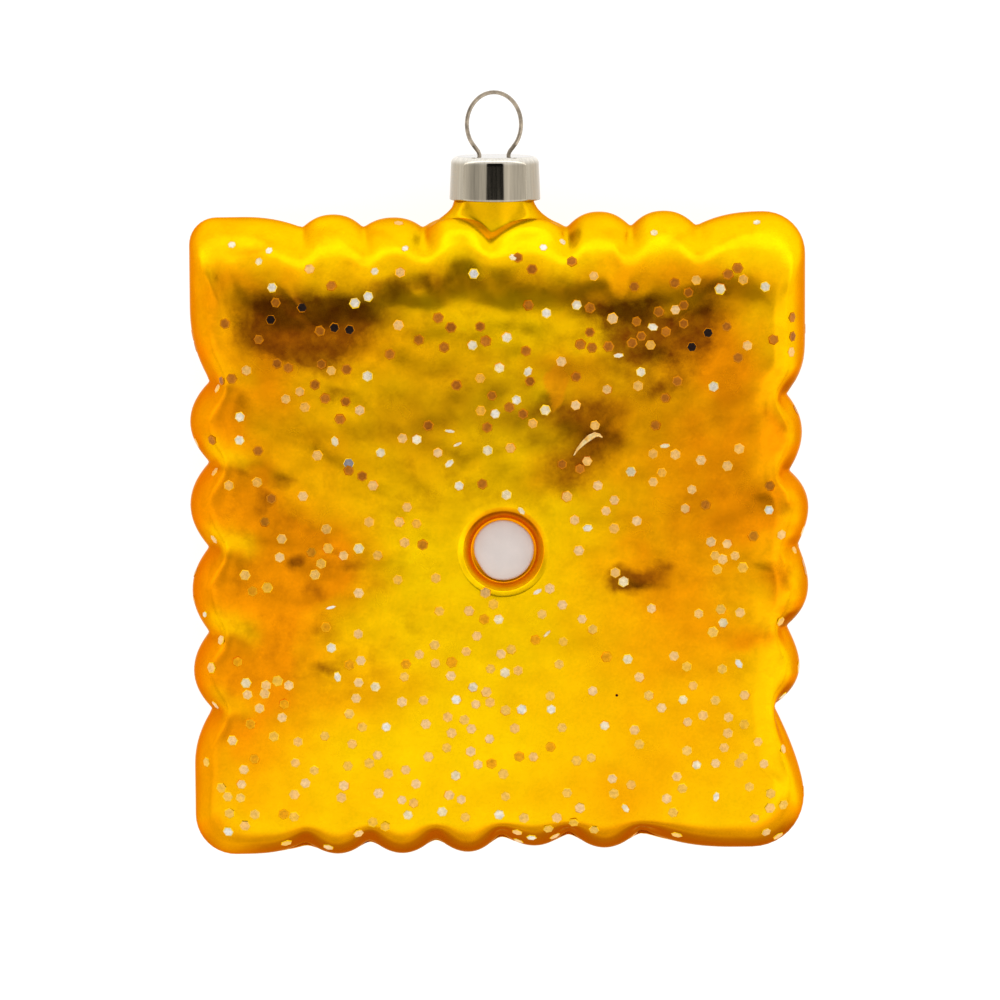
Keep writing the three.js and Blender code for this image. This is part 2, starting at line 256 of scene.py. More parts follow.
def front_rise(x, y):
    return FRONT_RISE - CROWN_DROP * from_middle(x, y) ** 2.6


def back_rise(x, y):
    return BACK_RISE - BACK_DROP * (np.maximum(0, from_middle(x, y) - BACK_FLAT) / (1 - BACK_FLAT)) ** 2


def shoulder_end(cols, sign):
    """The angle at which each column's shoulder, a quarter of an oval, is cut off by the face."""
    rim, face, out, _, _, slope = cols
    s = np.tan(np.radians(slope if sign > 0 else 0 * slope)) * ((rim - face) * out).sum(1) / FRONT_RISE
    return np.arccos(s / (1 - s))


def shoulder(t, last):
    """How far in and how far up the shoulder is at a share t of its way, as shares."""
    far_in = (1 - np.cos(t * last) ** SHOULDER_POWER) / (1 - np.maximum(np.cos(last), 0) ** SHOULDER_POWER)
    return far_in, np.sin(t * last) ** SHOULDER_POWER / np.sin(last) ** SHOULDER_POWER


def half_rows(cols, rise, sign, shoulder_n, face_n, dimple_n):
    """Rows of points from the rim to the dimple's middle, and for each row (zone, share)."""
    rim, face, out, _, _, _ = cols
    rows, marks = [], []
    last = shoulder_end(cols, sign)
    for k in range(shoulder_n + 1):
        t = k / shoulder_n
        w, up = shoulder(t, last)
        p = rim * (1 - w[:, None]) + face * w[:, None]
        rows.append(np.column_stack([p, SEAM_Z + sign * rise(p[:, 0], p[:, 1]) * up]))
        marks.append((0, t))
    middle = DIMPLE - SHIFT
    d = face - middle
    far = np.linalg.norm(d, axis=1)[:, None]
    lip = middle + d / far * DIMPLE_LIP_R
    for k in range(1, face_n + 1):
        u = k / face_n
        p = face * (1 - u) + lip * u
        rows.append(np.column_stack([p, SEAM_Z + sign * rise(p[:, 0], p[:, 1])]))
        marks.append((1, u))
    floor = rise(*middle) - DIMPLE_DEPTH
    wall = DIMPLE_LIP_R - DIMPLE_FLOOR_R
    way = np.linspace(0, wall, 200)
    fallen = np.cumsum(np.interp(way, *zip(*WALL_SLOPES)))
    for k in range(1, dimple_n + 1):
        f = k / dimple_n
        if f <= 0.75:  # the rounded lip and the steep wall
            r = DIMPLE_LIP_R - wall * f / 0.75
            down = np.interp(wall * f / 0.75, way, fallen / fallen[-1])
        else:  # the floor
            r = DIMPLE_FLOOR_R * (1 - (f - 0.75) / 0.25)
            down = 1
        p = middle + d / far * r
        z = rise(p[:, 0], p[:, 1]) * (1 - down) + floor * down
        rows.append(np.column_stack([p, SEAM_Z + sign * z]))
        marks.append((2, f))
    return rows, marks


def grid_normals(g):
    du = np.roll(g, -1, axis=1) - np.roll(g, 1, axis=1)
    dv = np.empty_like(g)
    dv[1:-1] = g[2:] - g[:-2]
    dv[0] = g[1] - g[0]
    dv[-1] = g[-1] - g[-2]
    n = np.cross(du, dv)
    return n / np.maximum(np.linalg.norm(n, axis=2, keepdims=True), 1e-9)


# Dents and swells of the blown face: place (u, v), half widths, and the tilt in degrees that the
# face has in its middle, to the right and upwards.
TILTS = [
    # the arc along the top, and the corner left of it
    (480, 286, 80, 12, 0.0, 3.0), (224, 292, 18, 18, -5.0, -3.0), (216, 272, 20, 14, -5.0, -4.0),
    # the upper left hollow
    (300, 320, 42, 26, 0.0, 2.4), (340, 312, 30, 22, 0.0, 1.6), (325, 360, 20, 9, 0.0, 2.4),
    # the upper right hollow
    (625, 315, 28, 22, 0.0, 2.6), (655, 355, 26, 14, 0.0, 2.2), (704, 322, 20, 22, 0.0, 2.6),
    # right of the middle
    (590, 430, 30, 30, 0.0, 3.0), (628, 580, 24, 10, 0.0, 3.4),
    # the middle, above the dimple
    (470, 410, 50, 22, 0.0, 1.1), (500, 480, 50, 20, 0.0, 1.2),
    # the left
    (282, 480, 12, 10, 0.0, 2.4), (296, 560, 12, 9, 0.0, 3.0), (328, 662, 16, 7, 0.0, 3.0),
    (240, 425, 15, 20, 0.0, -2.6), (241, 506, 15, 20, 0.0, -3.0), (240, 592, 15, 20, 0.0, -2.4), (240, 670, 15, 20, 0.0, -2.0),
    (226, 453, 14, 8, 0.0, -2.0), (228, 538, 14, 8, 0.0, -2.0), (226, 623, 14, 8, 0.0, -2.0),
    # the hollows behind the lobes on the right
    (781, 430, 8, 12, 0.0, 2.0), (781, 503, 10, 12, 0.0, 2.2), (784, 574, 8, 14, 0.0, 2.0), (762, 632, 13, 9, 0.0, 2.2),
    (385, 570, 26, 16, 0.0, 1.4),
    # low
    (400, 690, 40, 14, 0.0, 2.0), (700, 660, 34, 14, 0.0, 1.8), (600, 640, 30, 10, 0.0, 2.0),
]


# Low ridges that run across the face: from, to, half width, height in mm.
RIDGES = [
    ((298, 442), (452, 554), 11, 0.06), ((236, 606), (330, 616), 10, 0.05), ((640, 541), (560, 501), 10, 0.05),
    ((300, 388), (372, 412), 9, 0.045), ((356, 636), (470, 696), 14, 0.045), ((250, 696), (330, 701), 11, 0.045),
]

# The same for painted light at the left notches: a painted highlight streak above each, and a streak of painted shade
# along the crease from it.
HIGHLIGHT_STREAKS = [((206, n - 16), (258, n + 4), 9, k) for n, k in ((380, 0.4), (461, 0.85), (546, 0.85), (631, 0.85), (708, 0.5))]
CREASE_SHADE_STREAKS = [((208, n + 1), (254, n + 16), 3.6, k) for n, k in ((380, 0.25), (461, 0.5), (546, 0.4), (631, 0.45), (708, 0.3))]


def streak(u, v, start, end, wide, fade=20):
    """1 along a line, falling off to both sides and at its ends."""
    (a, b), (c, d) = start, end
    long = math.hypot(c - a, d - b)
    along = ((u - a) * (c - a) + (v - b) * (d - b)) / long
    away = ((u - a) * (d - b) - (v - b) * (c - a)) / long
    return gauss(away, wide) * smooth(-fade, fade, along) * smooth(long + fade, long - fade, along)


def ragged(u, v, coarse, fine):
    """The same places moved about a little, so that what is laid out by them has uneven edges."""
    at = [(a, b) for a, b in zip(u, v)]

    def shift(k):
        return np.array([
            coarse * 15 * noise.noise(Vector((a / 46, b / 46, k)))
            + fine * 8 * noise.noise(Vector((a / 17, b / 17, k + 5)))
            + fine * 3.5 * noise.noise(Vector((a / 7, b / 7, k + 9))) for a, b in at])

    return u + shift(0.3), v + shift(20.3)


def relief(p, nz):
    """How far points of the pillow stand out, from the dents and swells above and a fine waviness."""
    u, v = ragged(*seen(p), 1.0, 1.0)
    h = np.zeros(len(p))
    for a, b, sa, sb, right, up in TILTS:
        du, dv = (u - a) / sa, (v - b) / sb
        w = np.exp(-0.5 * (du * du + dv * dv)) * UNIT
        h += w * (-(u - a) * math.tan(math.radians(right)) + (v - b) * math.tan(math.radians(up)))
    for start, end, wide, high in RIDGES:
        h += high * streak(u, v, start, end, wide)
    h *= smooth(0.3, 0.8, nz)
    wave = np.array([
        0.12 * noise.noise(Vector((a / 11.0, b / 10.0, c / 9.0 + 7.3)))
        + 0.05 * noise.noise(Vector((a / 4.6 + 31, b / 4.6, c / 5.0)))
        for a, b, c in p])
    swells = np.array([noise.noise(Vector((a / 3.6 + 17, b / 3.0, c / 4.0))) for a, b, c in p])
    dents = np.array([noise.noise(Vector((a / 1.9, b / 1.6 + 11, c / 2.0))) for a, b, c in p])
    return h + wave + (0.014 * dents + 0.045 * swells) * (0.25 + mottling(*seen(p)))


# Where the face is full of small dents and stains: place (u, v), half widths, strength.
MOTTLED = [
    (500, 420, 120, 80, 0.8), (440, 350, 80, 40, 0.5), (320, 590, 70, 50, 0.7), (330, 650, 70, 40, 0.4),
    (320, 325, 80, 45, 0.4), (650, 335, 80, 50, 0.5), (500, 285, 110, 18, 0.4), (640, 575, 50, 30, 0.5),
    (740, 480, 50, 120, 0.3), (255, 490, 50, 100, 0.5), (430, 480, 60, 50, 0.3),
    (250, 640, 50, 90, 0.5), (350, 660, 60, 40, 0.3), (755, 640, 40, 90, 0.4),
]


def mottling(u, v):
    k = sum(k * gauss(u - a, sa) * gauss(v - b, sb) for a, b, sa, sb, k in MOTTLED)
    return np.clip(0.12 + 0.12 * smooth(720, 620, v) + k, 0, 1.1)


def tube_of(rings, closed_start=True, closed_end=True):
    """Vertices and faces of rings of equal length, shut by a fan at each end."""
    n = len(rings[0])
    verts = np.concatenate(rings)
    faces = []
    for i in range(len(rings) - 1):
        a = i * n + np.arange(n)
        b = i * n + (np.arange(n) + 1) % n
        faces.append(np.column_stack([a, b, b + n, a + n]))
    faces = [tuple(f) for f in np.concatenate(faces)]
    if closed_start:
        verts = np.vstack([verts, rings[0].mean(0)])
        faces += [(len(verts) - 1, (j + 1) % n, j) for j in range(n)]
    if closed_end:
        verts = np.vstack([verts, rings[-1].mean(0)])
        k = (len(rings) - 1) * n
        faces += [(len(verts) - 1, k + j, k + (j + 1) % n) for j in range(n)]
    return verts, faces


def mesh_object(name, verts, faces, material, smooth_faces=True):
    me = bpy.data.meshes.new(name)
    me.from_pydata((np.asarray(verts) * 0.001).tolist(), [], faces)
    me.validate()
    me.materials.append(material)
    if smooth_faces:
        me.polygons.foreach_set("use_smooth", [True] * len(me.polygons))
    o = bpy.data.objects.new(name, me)
    scene.collection.objects.link(o)
    return o


def paint(o, name, colours):
    """A colour for each vertex."""
    a = o.data.color_attributes.new(name, "FLOAT_COLOR", "POINT")
    c = np.ones((len(o.data.vertices), 4), np.float32)
    c[:, : colours.shape[1]] = colours
    a.data.foreach_set("color", c.ravel())


# ---- materials ----------------------------------------------------------------------------

# Lacquer colours, as linear light.
YELLOW = np.array([1.0, 0.615, 0.001])
ORANGE = np.array([0.93, 0.30, 0.001])
# the next two are painted shade: the sides' orange, and the brown of slopes that face down and of creases
SIDE_SHADE = np.array([0.79, 0.25, 0.001])
SHADE_BROWN = np.array([0.40, 0.115, 0.001])
# the dark of thinner silvering, also used for painted dark reflection and painted shade
SHADE_AND_THIN_SILVER = np.array([0.205, 0.046, 0.002])

class Nodes:
    """A material's node tree."""

    def __init__(self, name):
        self.material = bpy.data.materials.new(name)
        self.material.use_nodes = True
        self.tree = self.material.node_tree
        self.tree.nodes.clear()
        self.shader = self.add("ShaderNodeBsdfPrincipled")
        self.out = self.add("ShaderNodeOutputMaterial")
        self.link(self.shader.outputs["BSDF"], self.out.inputs["Surface"])

    def add(self, kind, **props):
        n = self.tree.nodes.new(kind)
        for k, v in props.items():
            setattr(n, k, v)
        return n

    def link(self, a, b):
        self.tree.links.new(a, b)

    def set(self, **values):
        for k, v in values.items():
            self.shader.inputs[k.replace("_", " ")].default_value = v

    def place(self):
        return self.add("ShaderNodeTexCoord").outputs["Object"]

    def noise(self, scale, detail=2.0, rough=0.5, at=None, distortion=0.0):
        n = self.add("ShaderNodeTexNoise")
        n.inputs["Scale"].default_value = scale
        n.inputs["Detail"].default_value = detail
        n.inputs["Roughness"].default_value = rough
        n.inputs["Distortion"].default_value = distortion
        self.link(at or self.place(), n.inputs["Vector"])
        return n.outputs["Fac"]

    def range(self, x, a, b, c, d):
        n = self.add("ShaderNodeMapRange")
        for i, value in enumerate((a, b, c, d)):
            n.inputs[i + 1].default_value = value
        self.link(x, n.inputs[0])
        return n.outputs[0]

    def math(self, op, a, b=None):
        n = self.add("ShaderNodeMath", operation=op)
        for i, x in enumerate((a, b)):
            if x is None:
                continue
            if isinstance(x, (int, float)):
                n.inputs[i].default_value = x
            else:
                self.link(x, n.inputs[i])
        return n.outputs[0]

    def scale_colour(self, colour, factor):
        n = self.add("ShaderNodeVectorMath", operation="SCALE")
        self.link(colour, n.inputs[0])
        self.link(factor, n.inputs["Scale"])
        return n.outputs[0]

    def attribute(self, name):
        n = self.add("ShaderNodeAttribute", attribute_name=name)
        return n.outputs["Color"]

    def bump(self, height, distance, strength=1.0):
        n = self.add("ShaderNodeBump")
        n.inputs["Strength"].default_value = strength
        n.inputs["Distance"].default_value = distance
        self.link(height, n.inputs["Height"])
        self.link(n.outputs["Normal"], self.shader.inputs["Normal"])


def lacquer_material():
    """Satin lacquer over silvering, which is thinner in blotches that carry painted dark reflection; an attribute says
    where.
    """
    m = Nodes("lacquer")
    tone = m.attribute("tone")
    cloudy = m.range(m.noise(260, 4, 0.6), 0.3, 0.7, 0.92, 1.05)
    grain = m.range(m.noise(2600, 2, 0.6), 0.3, 0.7, 0.96, 1.03)
    mottle = m.attribute("mottle")
    clouds = m.math("MULTIPLY", mottle, m.range(m.noise(300, 2, 0.5), 0.35, 0.65, -0.07, 0.07))
    clear = m.scale_colour(tone, m.math("MULTIPLY", m.math("MULTIPLY", cloudy, grain), m.math("SUBTRACT", 1.0, clouds)))
    ragged_edge = m.range(m.noise(420, 5, 0.68), 0.25, 0.75, -0.26, 0.26)
    thin_silver_and_dark_reflection = m.math("ADD", m.attribute("thin_silver_and_dark_reflection"), m.math("MULTIPLY", ragged_edge, m.range(m.attribute("thin_silver_and_dark_reflection"), 0.05, 0.4, 0, 1)))
    k = m.math("MULTIPLY", m.range(thin_silver_and_dark_reflection, 0.16, 0.86, 0, 0.95), m.range(m.noise(560, 4, 0.65), 0.3, 0.7, 1.06, 0.76))
    # and a few faint brown stains
    stains = m.math("MULTIPLY", mottle, m.range(m.noise(330, 3, 0.62), 0.50, 0.72, 0, 0.26))
    k = m.math("MAXIMUM", k, stains)
    # the dark of the blotches: thinner silvering and painted dark reflection
    dark = m.add("ShaderNodeRGB")
    dark.outputs[0].default_value = (*SHADE_AND_THIN_SILVER, 1)
    mixed = m.add("ShaderNodeVectorMath", operation="ADD")
    m.link(m.scale_colour(clear, m.math("SUBTRACT", 1.0, k)), mixed.inputs[0])
    m.link(m.scale_colour(dark.outputs[0], k), mixed.inputs[1])
    m.link(mixed.outputs[0], m.shader.inputs["Base Color"])
    m.set(Metallic=0.8)
    m.shader.inputs["Specular IOR Level"].default_value = 0.0
    m.shader.inputs["Specular Tint"].default_value = (0.78, 0.38, 0.01, 1.0)
    m.link(m.range(m.noise(180, 3, 0.55), 0.3, 0.7, 0.20, 0.28), m.shader.inputs["Roughness"])
    m.bump(m.noise(1300, 2, 0.5), 0.00001, 0.5)
    return m.material


def enamel_material():
    m = Nodes("enamel")
    mott = m.range(m.noise(420, 3, 0.6), 0.3, 0.7, 0.96, 1.03)
    c = m.add("ShaderNodeRGB")
    c.outputs[0].default_value = (0.80, 0.735, 0.715, 1)
    m.link(m.scale_colour(c.outputs[0], mott), m.shader.inputs["Base Color"])
    m.link(m.range(m.noise(500, 2), 0.3, 0.7, 0.28, 0.4), m.shader.inputs["Roughness"])
    m.bump(m.noise(700, 3), 0.00008, 0.5)
    return m.material


def nickel_material():
    m = Nodes("nickel")
    # drawn metal: faint streaks along the cap's axis
    at = m.add("ShaderNodeMapping")
    at.inputs["Scale"].default_value = (3000, 60, 3000)
    m.link(m.place(), at.inputs["Vector"])
    streaks = m.noise(1.0, 3, 0.6, at=at.outputs[0])
    m.link(m.scale_colour(m.attribute("tone"), m.range(streaks, 0.3, 0.7, 0.86, 1.08)), m.shader.inputs["Base Color"])
    m.set(Metallic=1.0)
    m.link(m.range(streaks, 0.3, 0.7, 0.05, 0.09), m.shader.inputs["Roughness"])
    m.bump(streaks, 0.000006, 0.5)
    return m.material


def flake_material():
    m = Nodes("flake")
    tone = m.attribute("tone")
    m.link(m.scale_colour(tone, m.range(m.noise(2200, 3, 0.6), 0.3, 0.7, 0.78, 1.10)), m.shader.inputs["Base Color"])
    m.set(Metallic=0.35)
    m.shader.inputs["Specular IOR Level"].default_value = 0.1
    m.link(m.range(m.noise(900, 2), 0.3, 0.7, 0.24, 0.38), m.shader.inputs["Roughness"])
    m.bump(m.noise(2500, 2), 0.00002, 0.4)
    return m.material


def wire_material():
    m = Nodes("wire")
    streaks = m.noise(900, 3, 0.6)
    c = m.add("ShaderNodeRGB")
    c.outputs[0].default_value = (0.36, 0.30, 0.23, 1)
    m.link(m.scale_colour(c.outputs[0], m.range(streaks, 0.3, 0.7, 0.6, 1.35)), m.shader.inputs["Base Color"])
    m.set(Metallic=1.0)
    m.link(m.range(streaks, 0.3, 0.7, 0.07, 0.14), m.shader.inputs["Roughness"])
    m.bump(streaks, 0.00001, 0.4)
    return m.material


LACQUER = lacquer_material()
ENAMEL = enamel_material()
NICKEL = nickel_material()
FLAKE = flake_material()
WIRE = wire_material()

# ---- the glass body -----------------------------------------------------------------------

# Where the lacquer is more orange, partly as its own tone and partly as painted shade, wholly so in the last three
# groups: place (u, v), half widths, strength.
WARM_AND_SHADE = [
    (215, 300, 16, 90, 0.45), (262, 320, 26, 50, 0.6), (340, 325, 40, 30, 0.5), (300, 345, 40, 30, 0.4),
    (225, 430, 34, 50, 0.55), (235, 520, 44, 60, 0.85), (240, 620, 50, 60, 0.9), (300, 590, 50, 60, 0.45),
    (230, 720, 40, 50, 0.75), (300, 700, 50, 40, 0.3), (400, 430, 60, 60, 0.35), (430, 350, 60, 30, 0.25),
    (690, 330, 44, 34, 0.5), (735, 345, 34, 50, 0.45), (700, 430, 60, 60, 0.6), (690, 550, 70, 60, 0.6),
    (740, 480, 40, 80, 0.35), (680, 650, 60, 40, 0.5), (730, 740, 60, 60, 0.25), (590, 700, 40, 30, 0.12),
    (590, 400, 40, 40, 0.4), (590, 440, 30, 30, 0.4), (625, 575, 40, 24, 0.35),
    (225, 435, 16, 14, 0.3), (230, 505, 14, 12, 0.2), (220, 600, 14, 14, 0.2),
    (470, 278, 90, 14, 0.5), (590, 300, 40, 16, 0.3), (621, 280, 34, 14, 0.3), (680, 278, 30, 12, 0.25),
    (273, 400, 30, 25, 0.35), (331, 440, 30, 25, 0.3), (331, 535, 30, 28, 0.35), (331, 580, 34, 26, 0.3),
    (273, 560, 30, 24, 0.35), (563, 364, 24, 14, 0.4), (563, 480, 26, 16, 0.35), (389, 690, 44, 26, 0.3),
    (270, 800, 50, 30, 0.3), (420, 800, 120, 26, 0.12), (640, 765, 80, 46, 0.3), (610, 805, 60, 26, 0.25),
    # painted shade in the middle of the upper lobes, where their reflection is dimmer
    (251, 242, 15, 4.5, 0.55), (326, 240, 9, 5, 0.5), (382, 242, 8, 4.5, 0.45), (604, 239, 8, 5, 0.35),
    (668, 239, 11, 4.5, 0.4), (740, 240, 18, 4, 0.2),
    # painted shade in the hollows behind the lobes on the right
    (772, 504, 16, 18, 0.6), (778, 430, 12, 14, 0.55), (781, 574, 12, 16, 0.6), (758, 634, 18, 10, 0.5),
    # painted shade between the upper lobes and the face
    (222, 285, 22, 20, 0.2), (265, 284, 30, 12, 0.2), (740, 282, 34, 14, 0.4),
]

# Blotches of thinner silvering on the front, which carry painted dark reflection of the dark overhead: place (u, v),
# half widths, strength.
THIN_SILVER_AND_REFLECTION_BLOTCHES = [
    # the upper left
    (268, 320, 21, 22, 1.0), (318, 322, 34, 22, 1.0), (352, 311, 25, 17, 0.95), (320, 355, 24, 13, 0.9),
    (385, 290, 18, 7, 0.8), (285, 345, 22, 12, 0.6),
    # the arc along the top
    (408, 283, 26, 7, 0.75), (436, 284, 22, 8, 0.75), (460, 268, 20, 13, 0.7), (506, 283, 30, 11, 0.62),
    (550, 287, 26, 10, 0.75),
    # the upper right
    (602, 304, 22, 15, 0.95), (630, 322, 20, 20, 0.95), (640, 350, 22, 11, 0.8), (658, 387, 19, 9, 0.75),
    (684, 374, 14, 7, 0.5), (704, 315, 13, 20, 0.95), (716, 290, 16, 9, 0.9), (692, 342, 13, 8, 0.8),
    (656, 300, 14, 6, 0.6), (672, 326, 18, 14, 0.8), (684, 358, 16, 8, 0.25), (628, 366, 24, 10, 0.35),
    # right of the middle
    (572, 464, 20, 19, 0.78), (602, 436, 17, 18, 0.66), (588, 406, 30, 10, 0.5), (549, 412, 20, 13, 0.5),
    # small ones
    (620, 582, 11, 8, 1.1), (643, 577, 18, 9, 0.8), (664, 565, 9, 6, 0.5), (297, 560, 8, 7, 0.8),
    (312, 585, 6, 8, 0.62), (318, 446, 6, 6, 0.5), (356, 564, 11, 5, 0.58), (560, 482, 16, 9, 0.2),
    (333, 552, 6, 5, 0.5), (318, 627, 7, 7, 0.42), (262, 513, 7, 6, 0.38), (350, 692, 12, 5, 0.34),
    (328, 665, 12, 5, 0.72), (445, 373, 17, 8, 0.3), (781, 505, 10, 13, 0.36), (782, 431, 7, 10, 0.34),
    (785, 574, 7, 12, 0.36), (762, 635, 13, 7, 0.34), (267, 496, 7, 9, 0.6), (322, 594, 8, 7, 0.35),
    (286, 481, 8, 5, 0.7), (340, 393, 12, 5, 0.58),
]

# Painted shade, wide and soft: place (u, v), half widths, strength.
PAINTED_SHADES = [
    (470, 415, 60, 20, 0.24), (420, 436, 40, 18, 0.14), (440, 372, 36, 16, 0.14), (575, 395, 50, 26, 0.16),
    (580, 450, 46, 40, 0.12), (465, 500, 60, 20, 0.12), (720, 500, 60, 60, 0.04), (340, 680, 50, 24, 0.06),
    (330, 560, 50, 40, 0.06), (389, 318, 24, 14, 0.28), (563, 366, 22, 12, 0.34), (480, 655, 90, 36, 0.08),
    (505, 402, 30, 18, 0.12), (440, 440, 60, 18, 0.06),
]


def inside(u, v, corners, soft):
    """1 inside an outline that bulges everywhere, 0 outside."""
    k = np.ones(len(u))
    for (a, b), (c, d) in zip(corners, corners[1:] + corners[:1]):
        k = k * smooth(-soft, soft, ((c - a) * (v - b) - (d - b) * (u - a)) / math.hypot(c - a, d - b))
    return k


def lacquer_tone(p, n):
    """The lacquer's colour, with painted shade and highlights, and where the silvering is thinner and carries painted
    dark reflection.
    """
    u, v = ragged(*seen(p), 1.0, 1.0)
    # more orange lacquer, and in places painted shade
    warmth_and_shade = np.zeros(len(p))
    for a, b, sa, sb, k in WARM_AND_SHADE:
        warmth_and_shade += k * np.exp(-0.5 * (((u - a) / sa) ** 2 + ((v - b) / sb) ** 2))
    cloud = np.array([noise.noise(Vector((a / 9.0 + 3, b / 7.0, c / 7.0))) for a, b, c in p])
    fine = np.array([noise.noise(Vector((a / 3.1, b / 2.6 + 5, c / 3.0))) for a, b, c in p])
    back = 0.35 + 0.45 * smooth(12, 34, np.abs(p[:, 0])) + 0.3 * cloud
    front = smooth(-1.5, 2.5, p[:, 2] - SEAM_Z)
    warmth_and_shade = back * (1 - front) + warmth_and_shade * front
    warmth_and_shade = np.clip(warmth_and_shade + 0.15 * cloud + 0.08 * fine, 0, 1)[:, None]
    c = YELLOW * (1 - warmth_and_shade) + ORANGE * warmth_and_shade
    # painted shade, wide and soft
    shade = sum(k * np.exp(-0.5 * (((u - a) / sa) ** 2 + ((v - b) / sb) ** 2)) for a, b, sa, sb, k in PAINTED_SHADES)
    k = (shade * front * (1 + 0.6 * fine))[:, None]
    c = c * (1 - k) + SHADE_AND_THIN_SILVER * k
    # one stain with straight edges
    kite = inside(*ragged(*seen(p), 0.0, 0.25), [(541, 376), (559, 363), (568, 376), (562, 403), (552, 413)], 1.5)
    k = (0.75 * kite * front)[:, None]
    c = c * (1 - k) + np.array([0.90, 0.32, 0.003]) * k
    # where the glass turns to the side it is more orange, partly thicker lacquer and partly painted shade, most on the
    # left
    side = smooth(0.62, 0.1, np.abs(n[:, 2]))
    leftwards, rightwards = smooth(0.3, 0.75, -n[:, 0]), smooth(0.78, 0.97, n[:, 0])
    k = np.maximum(side * 0.12, np.maximum(leftwards * 0.68, rightwards * 0.64))[:, None]
    c = c * (1 - k) + SIDE_SHADE * k
    # painted shade where the glass faces down: orange on the gentle slopes, brown on the steep ones
    down = smooth(0.12, 0.3, -n[:, 1])
    k = (smooth(0.97, 0.85, np.abs(n[:, 2])) * down * 0.7)[:, None]
    c = c * (1 - k) + ORANGE * k
    down = smooth(0.25, 0.6, -n[:, 1]) * (0.4 + 0.6 * smooth(215, 300, u))
    k = (smooth(0.86, 0.62, np.abs(n[:, 2])) * down * 0.97)[:, None]
    c = c * (1 - k) + SHADE_BROWN * k
    # painted highlight and crease shade at the notches on the left
    a, b = ragged(*seen(p), 0.0, 0.8)
    for lines, colour in ((HIGHLIGHT_STREAKS, YELLOW * (1, 0.86, 1)), (CREASE_SHADE_STREAKS, SHADE_BROWN * 1.3)):
        k = sum(k * streak(a, b, start, end, wide, 12) for start, end, wide, k in lines)
        k = (np.clip(k, 0, 1) * front)[:, None]
        c = c * (1 - k) + colour * k
    # the dimples' walls are orange: pooled lacquer, with painted shade of the recess
    r = np.hypot(p[:, 0] - DIMPLE[0], p[:, 1] - DIMPLE[1])
    k = (smooth(5.15, 4.7, r) * 0.95)[:, None]
    c = c * (1 - k) + np.array([1.0, 0.33, 0.001]) * k
    # blotches of thinner silvering and painted dark reflection
    u, v = ragged(*seen(p), 0.0, 0.7)
    thin_silver_and_dark_reflection = sum(k * np.exp(-0.5 * (((u - a) / sa) ** 2 + ((v - b) / sb) ** 2)) for a, b, sa, sb, k in THIN_SILVER_AND_REFLECTION_BLOTCHES)
    # less near the top, which mirrors the dark already
    start = smooth(310, 350, u)
    thin_silver_and_dark_reflection = thin_silver_and_dark_reflection * (0.42 + 0.58 * smooth(280 + 6 * start, 304 + 21 * start, v)) * (1 - 0.5 * kite)
    # the back has a few of its own
    spots = np.array([noise.noise(Vector((a / 7.0 + 9, b / 6.0, 4.0))) for a, b, _ in p])
    thin_silver_and_dark_reflection = np.clip(thin_silver_and_dark_reflection, 0, 1.2) * front + smooth(0.3, 0.62, spots) * 0.9 * (1 - front) * smooth(0.75, 0.95, np.abs(n[:, 2]))
    return np.clip(c, 0, 1), thin_silver_and_dark_reflection


